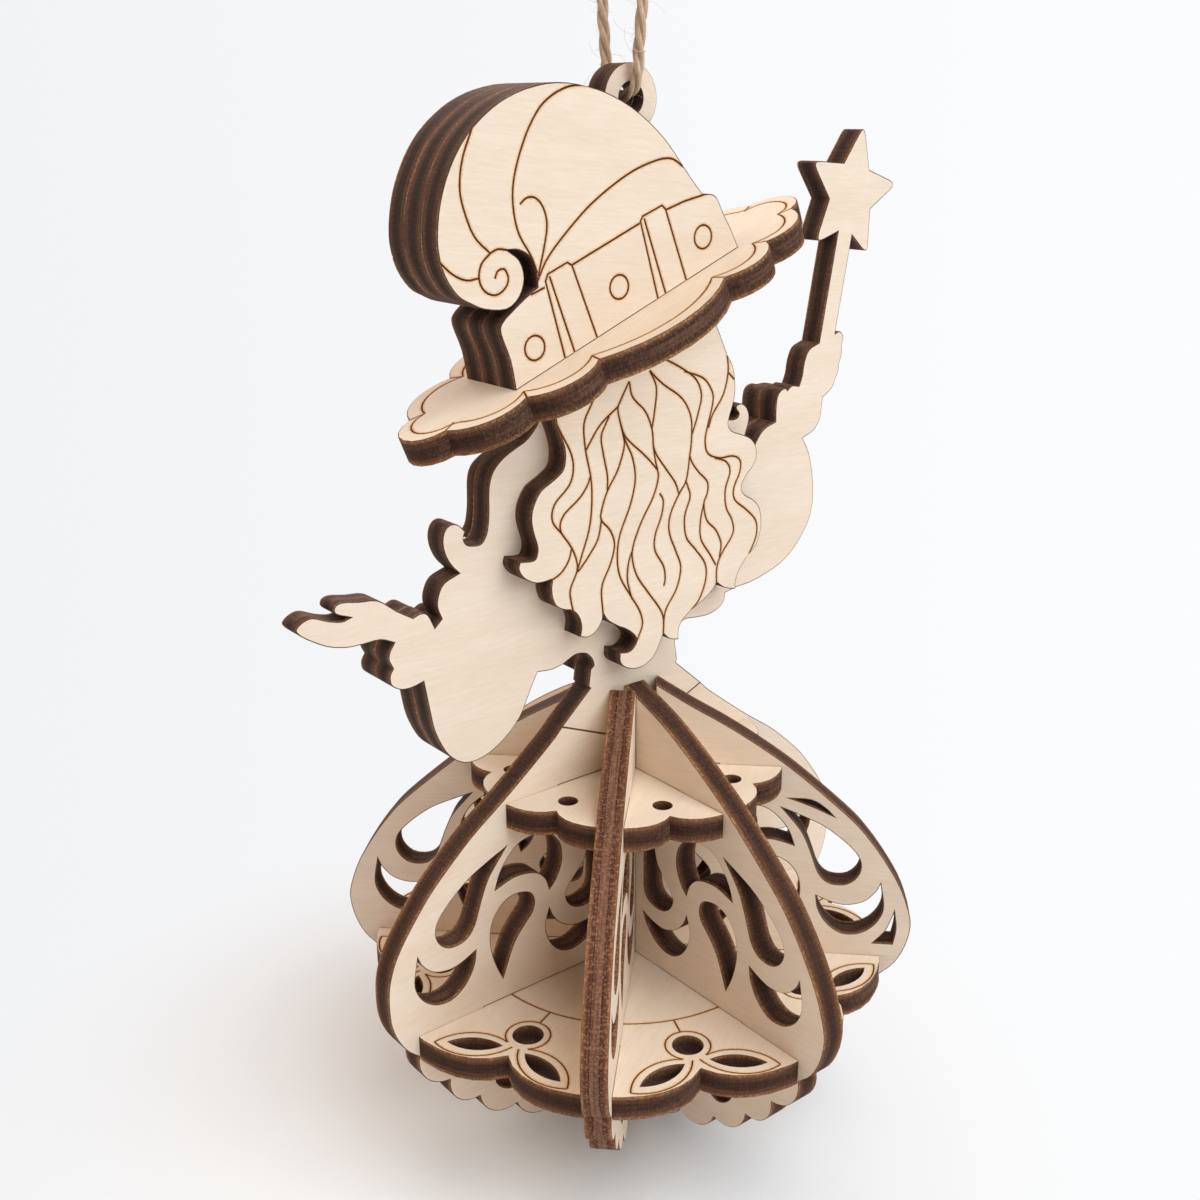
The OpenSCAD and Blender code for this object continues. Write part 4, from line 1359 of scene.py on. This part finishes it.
@dataclass
class Skirt:
    """The skirt: eight ribs round the axis, slotted into two scalloped discs."""

    ribs: tuple[str, ...] = ("rib_left", "rib_back_left", "rib_back", "rib_back_right", "rib_right",
                             "rib_front_right", "rib_front", "rib_front_left")
    step: float = 45.0
    grain_turns: tuple[float, ...] = (-6.0, 84.0, 9.0, -4.0)
    steep: float = 45.0
    upper_disc_z: float = 25.5
    hole_r: float = 24.0
    ring_r: float = 2.6
    ring_gap: float = 60.0
    circle_r: float = 19.0
    tick_r: float = 21.4
    line_w: float = 0.225
    leaf_tip: Point = (30.2, 8.75)
    leaf_roots: tuple[Point, ...] = ((26.25, 1.35), (26.75, 0.42))
    leaf_bulges: Point = (1.8, -2.05)
    grain_from: Point = (0.0, 400.0)
    grain_step: Point = (71.0, 47.0)
    disc_grain: float = 0.5
    disc_grain_from: Point = (30.0, 500.0)

    def petals(self) -> list[Stroke]:
        """The lines round the lower disc's holes and leaves, and its circle.

        Returns:
            The engraved lines.
        """
        fine = self.line_w
        lines = [arc(circle((0.0, 0.0), self.circle_r, step=0.6), closed=True, width=fine)]
        for k in range(len(self.ribs)):
            turn = (k + 0.5) * self.step
            hole = self.turned((self.hole_r, 0.0), turn)
            ring = circle(hole, self.ring_r, turn + self.ring_gap / 2, 360.0 - self.ring_gap)
            lines.append(arc(ring, width=fine))
            tick = [self.turned((r, 0.0), turn) for r in (self.circle_r, self.tick_r)]
            lines.append(arc(tick, width=fine))
            for s in (1, -1):
                tip = self.turned((self.leaf_tip[0], s * self.leaf_tip[1]), turn)
                for (out, off), bulge in zip(self.leaf_roots, self.leaf_bulges):
                    root = self.turned((out, s * off), turn)
                    lines.append(arc(bow(root, tip, s * bulge), width=fine))
        return lines

    @staticmethod
    def turned(at: Point, degrees: float) -> Point:
        """A point turned about the axis."""
        c, s = math.cos(math.radians(degrees)), math.sin(math.radians(degrees))
        return (c * at[0] - s * at[1], s * at[0] + c * at[1])

    def sheets(self) -> list[PlySheet]:
        """The skirt's ten sheets.

        Returns:
            The sheets with their lines.
        """
        made = []
        for k, name in enumerate(self.ribs):
            turn = math.radians(k * self.step)
            out = Vector((math.cos(turn), math.sin(turn), 0.0))
            grain = self.grain_turns[k % len(self.grain_turns)]
            plane = SheetPlane(DRAWN_ZERO, out, UP, UP.cross(out), math.radians(grain))
            look = EdgeLook.STRIPED if grain > self.steep else EdgeLook.TOASTED
            shift = (self.grain_from[0] + k * self.grain_step[0],
                     self.grain_from[1] + k * self.grain_step[1])
            made.append(PlySheet(name, plane, (), shift, look))
        for name, top, lines in (("upper_disc", self.upper_disc_z, []), ("lower_disc", 0.0, self.petals())):
            plane = SheetPlane(DRAWN_ZERO + (top - HALF_T) * UP, RIGHT, BACK, UP, self.disc_grain)
            shift = (self.disc_grain_from[0], self.disc_grain_from[1] + top)
            made.append(PlySheet(name, plane, lines, shift, EdgeLook.TOASTED))
        return made


@dataclass
class TwineLoop:
    """The jute loop: a laid cord through the ring, an overhand knot and loose fibres."""

    diameter: float = 1.3
    lay: float = 8.1
    hook_h: float = 22.0
    half: tuple[Point, ...] = ((0.0, 0.0), (1.0, 0.2), (1.85, 0.75), (2.4, 1.6), (2.6, 2.6), (2.8, 5.0),
                               (3.1, 7.5), (3.35, 10.5), (3.35, 13.5), (2.95, 16.5), (2.25, 19.5),
                               (1.5, 22.0), (1.0, 23.6), (0.9, 24.6), (0.9, 25.4))
    knot_h: float = 4.0
    tail_l: float = 6.0
    wrap_at: Point = (2.75, 4.3)
    wrap_r: float = 0.66
    wrap_rise: float = 0.012
    wrap_step: float = 30.0
    wrap_points: int = 14
    thread_r: float = 0.045
    thread_offset: float = 0.04
    thread_lay: float = 1.2
    plies: int = 3
    ply_r: float = 0.244
    ply_offset: float = 0.256
    knot_offset: float = 0.235
    ply_step: float = 0.16
    ply_mark: float = 53.0
    fibre_sizes: Point = (0.45, 1.25)
    fibre_count: int = 70
    fuzz_count: int = 520
    tail_fibres: int = 80
    tail_points: int = 14

    def route(self) -> list[Vector]:
        """The cord's way from knot to knot.

        Returns:
            The way's points, in millimetres of the row frame.
        """
        up = [(y, z - self.hook_h) for y, z in self.half]
        whole = [(-y, z) for y, z in reversed(up[1:])] + up
        return [Vector((0.0, y, z)) for y, z in smooth(whole, 0.5)]

    def tie(self, side: int) -> list[Vector]:
        """One strand's way through the knot to the end of its tail.

        Args:
            side: 1 for the strand towards the back and -1 for the other.

        Returns:
            The way's points, in millimetres of the row frame.
        """
        foot = self.half[-1][1] - self.hook_h
        way = [Vector((0.0, 0.9 * side, foot - 0.3)), Vector((0.0, 0.75 * side, foot + 1.2)),
               Vector((0.2 * side, 0.7 * side, foot + 2.6))]
        steps, wraps = 11, 1.2
        for k in range(steps + 1):
            share = k / steps
            angle = math.radians(75.0 * side + 180.0 * (side < 0)) + share * wraps * 2 * math.pi
            radius = 1.45 + 0.12 * math.sin(math.pi * share)
            level = foot + 3.3 - 2.3 * share + 0.45 * side
            way.append(Vector((radius * math.cos(angle), radius * math.sin(angle), level)))
        lean = 0.4 * side
        way += [Vector((0.55 * side, 0.35 * side, foot + 2.2)),
                Vector((0.4 * side, 0.75 * side, foot + 3.9)),
                Vector((lean, 1.15 * side, foot + self.knot_h + 1.4)),
                Vector((1.4 * lean, 1.75 * side, foot + self.knot_h + 3.7)),
                Vector((1.1 * lean, 2.2 * side, foot + self.knot_h + self.tail_l - 0.1))]
        return through(way, 0.35)

    def lay_tree(self, finish: Material) -> Tree:
        """The tree that lays three plies round a path.

        Args:
            finish: The plies' material.

        Returns:
            The tree.
        """
        takes = {"Path": "Geometry", "Ply Radius": "Float", "Ply Offset": "Float", "Lay Length": "Float"}
        tree, (path, radius, offset, lay) = new_group("twine_lay", "GeometryNodeTree", takes,
                                                      ("Twine",), "Geometry")
        fine = put(tree, "GeometryNodeResampleCurve", {"mode": "LENGTH"}, Curve=path,
                   Length=self.ply_step * MM)
        plies = put(tree, "GeometryNodeDuplicateElements", {"domain": "SPLINE"}, Geometry=fine.outputs[0],
                    Amount=self.plies)
        ply = plies.outputs["Duplicate Index"]
        run = put(tree, "GeometryNodeSplineParameter").outputs["Length"]
        turn = maths(tree, "ADD", maths(tree, "MULTIPLY", maths(tree, "DIVIDE", run, lay), -math.tau),
                     maths(tree, "MULTIPLY", ply, math.tau / self.plies))
        normal = put(tree, "GeometryNodeInputNormal").outputs[0]
        tangent = put(tree, "GeometryNodeInputTangent").outputs[0]
        side = vectors(tree, "CROSS_PRODUCT", tangent, normal).outputs[0]
        shifts = []
        for way, wave in ((normal, "COSINE"), (side, "SINE")):
            size = maths(tree, "MULTIPLY", maths(tree, wave, turn), offset)
            scaled = put(tree, "ShaderNodeVectorMath", {"operation": "SCALE"}, Vector=way, Scale=size)
            shifts.append(scaled.outputs[0])
        out = vectors(tree, "ADD", *shifts).outputs[0]
        laid = put(tree, "GeometryNodeSetPosition", Geometry=plies.outputs[0], Offset=out).outputs[0]
        mark = maths(tree, "MULTIPLY_ADD", ply, self.ply_mark, maths(tree, "DIVIDE", run, MM))
        ring = put(tree, "GeometryNodeCurvePrimitiveCircle", Resolution=10, Radius=radius).outputs[0]
        round_it = put(tree, "GeometryNodeSplineParameter").outputs["Factor"]
        strand, profile = (self.marked(tree, geometry, name, value) for geometry, name, value in
                           ((laid, ALONG, mark), (ring, AROUND, round_it)))
        give_out(tree, "Twine", swept_along(tree, strand, profile), finish)
        return tree

    @staticmethod
    def marked(tree: Tree, geometry: Socket, name: str, value: Socket) -> Socket:
        """Stores a number on each point of a curve.

        Args:
            tree: The tree that takes the node.
            geometry: The curve.
            name: The attribute's name.
            value: The number.

        Returns:
            The marked curve.
        """
        settings = {"data_type": "FLOAT", "domain": "POINT"}
        node = put(tree, "GeometryNodeStoreNamedAttribute", settings, Geometry=geometry, Name=name,
                   Value=value)
        return node.outputs[0]

    def fuzz_tree(self, finish: Material) -> Tree:
        """The tree that sets loose fibres on a path.

        Args:
            finish: The fibres' material.

        Returns:
            The tree.
        """
        takes = {"Path": "Geometry", "Count": "Int", "Seed": "Int", "Fibre Length": "Float",
                 "Fibre Radius": "Float"}
        tree, (path, count, seed, reach, thin) = new_group("twine_fuzz", "GeometryNodeTree", takes,
                                                           ("Fuzz",), "Geometry")
        spots = put(tree, "GeometryNodeCurveToPoints", {"mode": "COUNT"}, Curve=path, Count=count)
        bend = put(tree, "GeometryNodeCurveQuadraticBezier", Resolution=5, Start=(0.0, 0.0, 0.0),
                   Middle=(0.0, 0.35, 0.5), End=(0.25, 0.1, 1.0))
        scale = put(tree, "ShaderNodeCombineXYZ", X=reach, Y=reach, Z=reach)
        sized = put(tree, "GeometryNodeTransform", Geometry=bend.outputs[0], Scale=scale.outputs[0])
        ring = put(tree, "GeometryNodeCurvePrimitiveCircle", Resolution=3, Radius=thin)
        fibre = swept_along(tree, sized.outputs[0], ring.outputs[0])
        turn = put(tree, "FunctionNodeRandomValue", {"data_type": "FLOAT_VECTOR"}, Min=(0.0, 0.0, 0.0),
                   Max=(math.tau, math.tau, math.tau), Seed=seed)
        size = put(tree, "FunctionNodeRandomValue", {"data_type": "FLOAT"}, Min=self.fibre_sizes[0],
                   Max=self.fibre_sizes[1], Seed=seed)
        shrunk = next(s for s in size.outputs if s.enabled)
        set_out = put(tree, "GeometryNodeInstanceOnPoints", Points=spots.outputs[0], Instance=fibre,
                      Rotation=turn.outputs[0], Scale=shrunk)
        give_out(tree, "Fuzz", set_out.outputs[0], finish)
        return tree

    def grown(self, name: str, ways: Sequence[Sequence[Vector]], tree: Tree,
              values: dict[str, float]) -> Object:
        """Runs a tree along paths and joins what it makes into one piece.

        Args:
            name: The piece's name.
            ways: The paths, in millimetres of the row frame.
            tree: The tree to run.
            values: The tree's inputs by name.

        Returns:
            The piece, riding on the twine.
        """
        joined = bmesh.new()
        finish: list[Material] = []
        for way in ways:
            mesh = grow(tree, [tuple(p * MM) for p in way], values)
            finish = list(mesh.materials)
            joined.from_mesh(mesh)
            bpy.data.meshes.remove(mesh)
        whole = bpy.data.meshes.new(name)
        joined.to_mesh(whole)
        joined.free()
        for material in finish:
            whole.materials.append(material)
        whole.polygons.foreach_set("use_smooth", [True] * len(whole.polygons))
        piece = linked(name, whole)
        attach(piece, Body.TWINE.value)
        LOG.info("%s: %d faces", name, len(whole.polygons))
        return piece

    def wrap(self) -> list[Vector]:
        """The way of the fine thread that is wound once round a strand.

        Returns:
            The way's points, in millimetres of the row frame.
        """
        (y, z), r = self.wrap_at, self.wrap_r
        turns = [math.radians(self.wrap_step * k) for k in range(self.wrap_points)]
        way = [Vector((r * math.cos(a), y + r * math.sin(a), z - self.hook_h + self.wrap_rise * k))
               for k, a in enumerate(turns)]
        return through(way, 0.15)

    def build(self, palette: Palette) -> None:
        """Args:
            palette: The finishes.
        """
        lay = self.lay_tree(palette.jute)
        fuzz = self.fuzz_tree(palette.fibre)
        route = self.route()
        ties = [self.tie(side) for side in (1, -1)]
        tails = [way[-self.tail_points:] for way in ties]
        thick = self.diameter * MM
        laid = {"Ply Radius": self.ply_r * thick, "Ply Offset": self.ply_offset * thick,
                "Lay Length": self.lay * MM}
        cord = self.grown("twine_cord", [route], lay, laid)
        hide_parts("hanging_cord")
        knot = self.grown("twine_knot", ties, lay, {**laid, "Ply Offset": self.knot_offset * thick})
        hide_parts("cord_knot")
        loose = [
            self.grown(name, ways, fuzz, {"Count": count, "Seed": seed, "Fibre Length": reach * MM,
                                          "Fibre Radius": thin * MM})
            for name, ways, count, seed, reach, thin in (
                ("twine_fibres", [route], self.fibre_count, 7, 2.8, 0.013),
                ("twine_fuzz", [route], self.fuzz_count, 11, 0.95, 0.014),
                ("tail_fibres", tails, self.tail_fibres, 3, 1.7, 0.02),
            )
        ]
        thread = {"Ply Radius": self.thread_r * MM, "Ply Offset": self.thread_offset * MM,
                  "Lay Length": self.thread_lay * MM}
        wound = self.grown("twine_wrap", [self.wrap()], self.lay_tree(palette.fibre), thread)


def seen(tree: Tree) -> Socket:
    """Tells what looks at the background.

    Args:
        tree: The tree that takes the nodes.

    Returns:
        1 where the camera, a mirror or a clear piece looks at it, else 0.
    """
    path = put(tree, "ShaderNodeLightPath")
    rays = [path.outputs[n] for n in ("Is Camera Ray", "Is Glossy Ray", "Is Transmission Ray")]
    straight = maths(tree, "ADD", rays[0], rays[1], clamp=True)
    return maths(tree, "ADD", straight, rays[2], clamp=True)


@dataclass(frozen=True)
class FloorPaint:
    """Plain pale paint near the object, as bright as the background far off."""

    colour: Colour = (0.900, 0.940, 0.980, 1.0)
    middle: Triple = (11.3, -9.0, 0.0)
    near: float = 0.015
    far: float = 0.078
    least_glow: float = 0.05

    def build(self, glow: Tree, eye: Vector) -> Material:
        """Makes the material.

        Args:
            glow: The background's colour by the way out from the eye.
            eye: The camera's place in the photograph, in metres.

        Returns:
            The material.
        """
        material = bpy.data.materials.new("studio_floor")
        material.use_nodes = True
        tree = material.node_tree
        tree.nodes.clear()
        spot = put(tree, "ShaderNodeTexCoord").outputs["Object"]
        flat = vectors(tree, "MULTIPLY_ADD", spot, (1.0, 1.0, 0.0), -Vector(self.middle) * MM)
        away = vectors(tree, "LENGTH", flat.outputs[0])
        way = vectors(tree, "SUBTRACT", spot, eye)
        shine = put(tree, "ShaderNodeGroup", {"node_tree": glow}, Way=way.outputs[0])
        fade = spread(tree, away.outputs["Value"], self.near, self.far)
        matt = put(tree, "ShaderNodeBsdfDiffuse", Color=self.colour)
        lit = put(tree, "ShaderNodeEmission", Color=shine.outputs[0], Strength=1.0)
        share = maths(tree, "MULTIPLY_ADD", fade, 1.0 - self.least_glow, self.least_glow)
        share = maths(tree, "MULTIPLY", share, seen(tree))
        mix = feed_all(tree, put(tree, "ShaderNodeMixShader"), (share, matt.outputs[0], lit.outputs[0]))
        put(tree, "ShaderNodeOutputMaterial", Surface=mix.outputs[0])
        return material


@dataclass
class Studio:
    """The camera, a pale floor that fades into the background, and soft light."""

    eye: Triple = (102.41, 124.22, -22.98)
    azimuth: float = 141.414
    elevation: float = 18.938
    roll: float = -0.285
    focal_px: float = 1438.88
    image_px: float = 1200.0
    sensor: float = 36.0
    floor_z: float = -146.8
    floor_r: float = 2.4
    dim_side: Colour = (0.890, 0.895, 0.912, 1.0)
    bright_side: Colour = (0.970, 0.975, 0.985, 1.0)
    sides: Point = (-0.45, 0.4)
    sky: Colour = (1.0, 0.480, 0.240, 1.0)
    sky_strength: float = 0.13
    lamp_aim: Triple = (0.0, 0.0, -80.0)
    lamp_reach: float = 0.9

    def build(self) -> None:
        """Sets up everything round the object."""
        self.camera()
        glow = self.glow_group()
        self.floor(glow)
        self.world(glow)
        self.lamps()
        bpy.context.scene.view_settings.view_transform = "Standard"

    def axes(self) -> tuple[Vector, Vector, Vector]:
        """The camera's ways.

        Returns:
            Its right, up and back.
        """
        az, el, roll = (math.radians(a) for a in (self.azimuth, self.elevation, self.roll))
        back = Vector((math.sin(az) * math.cos(el), -math.cos(az) * math.cos(el), math.sin(el)))
        right = Vector((math.cos(az), math.sin(az), 0.0))
        up = back.cross(right)
        c, s = math.cos(roll), math.sin(roll)
        return c * right + s * up, c * up - s * right, back

    def camera(self) -> None:
        """The camera at the photograph's place."""
        data = bpy.data.cameras.new("photo_camera")
        data.sensor_width = self.sensor
        data.lens = self.sensor * self.focal_px / self.image_px
        data.clip_start = 0.01
        right, up, back = self.axes()
        eye = Vector(self.eye) * MM
        rows = [(right[i], up[i], back[i], eye[i]) for i in range(3)]
        camera = linked("photo_camera", data)
        camera.matrix_world = Matrix((*rows, (0.0, 0.0, 0.0, 1.0)))
        bpy.context.scene.camera = camera

    def glow_group(self) -> Tree:
        """The background's colour for a way out from the eye, a little brighter on one side.

        Returns:
            The shared group.
        """
        tree, (way,) = new_group("backdrop_glow", "ShaderNodeTree", {"Way": "Vector"}, ("Glow",), "Color")
        unit = vectors(tree, "NORMALIZE", way)
        side = vectors(tree, "DOT_PRODUCT", unit.outputs[0], self.axes()[0])
        share = spread(tree, side.outputs["Value"], *self.sides)
        put(tree, "NodeGroupOutput", Glow=blend(tree, share, self.dim_side, self.bright_side))
        return tree

    def floor(self, glow: Tree) -> None:
        """A round floor.

        Args:
            glow: The background's colour.
        """
        mesh = bpy.data.meshes.new("floor")
        work = bmesh.new()
        bmesh.ops.create_circle(work, cap_ends=True, segments=96, radius=self.floor_r)
        bmesh.ops.translate(work, verts=work.verts, vec=(0.0, 0.0, self.floor_z * MM))
        work.to_mesh(mesh)
        work.free()
        mesh.materials.append(FloorPaint().build(glow, Vector(self.eye) * MM))
        linked("floor", mesh)

    def world(self, glow: Tree) -> None:
        """Even light from all round, and the background that the camera sees.

        Args:
            glow: The background's colour.
        """
        world = bpy.data.worlds.new("studio")
        world.use_nodes = True
        tree = world.node_tree
        tree.nodes.clear()
        way = put(tree, "ShaderNodeTexCoord").outputs["Generated"]
        shine = put(tree, "ShaderNodeGroup", {"node_tree": glow}, Way=way)
        light = put(tree, "ShaderNodeBackground", Color=self.sky, Strength=self.sky_strength)
        back = put(tree, "ShaderNodeBackground", Color=shine.outputs[0], Strength=1.0)
        mix = feed_all(tree, put(tree, "ShaderNodeMixShader"),
                       (seen(tree), light.outputs[0], back.outputs[0]))
        put(tree, "ShaderNodeOutputWorld", Surface=mix.outputs[0])
        bpy.context.scene.world = world

    def lamps(self) -> None:
        """A soft key over the camera's right shoulder, and weaker lamps at the side, above and behind."""
        right, up, back = self.axes()
        for name, way, size, power, tint in (
            ("key_light", 0.65 * right + 0.55 * up + 0.75 * back, 1.1, 8.4, (0.885, 0.96, 1.0)),
            ("side_light", -0.85 * right + 0.6 * up + 0.1 * back, 0.7, 3.2, (1.0, 0.88, 0.76)),
            ("top_light", 0.1 * right + UP + 0.1 * back, 0.7, 2.3, (1.0, 0.89, 0.78)),
            ("far_light", -0.2 * right + 0.7 * UP - 0.9 * back, 0.7, 2.8, (1.0, 0.96, 0.92)),
        ):
            data = bpy.data.lights.new(name, "AREA")
            data.shape = "DISK"
            data.size = size
            data.energy = power
            data.color = tint
            lamp = linked(name, data)
            lamp.location = Vector(self.lamp_aim) * MM + way.normalized() * self.lamp_reach
            lamp.rotation_euler = way.to_track_quat("Z", "Y").to_euler()


def main() -> None:
    """Builds the studio, the twine and the wooden sheets."""
    logging.basicConfig(level=logging.INFO, format="%(name)s: %(message)s")
    Studio().build()
    palette = make_palette()
    TwineLoop().build(palette)
    bit = EngravingBit(palette.line)
    for group in (Hat(), Figure(), Skirt()):
        for sheet in group.sheets():
            sheet.build(bit, palette)


if __name__ == "__main__":
    main()
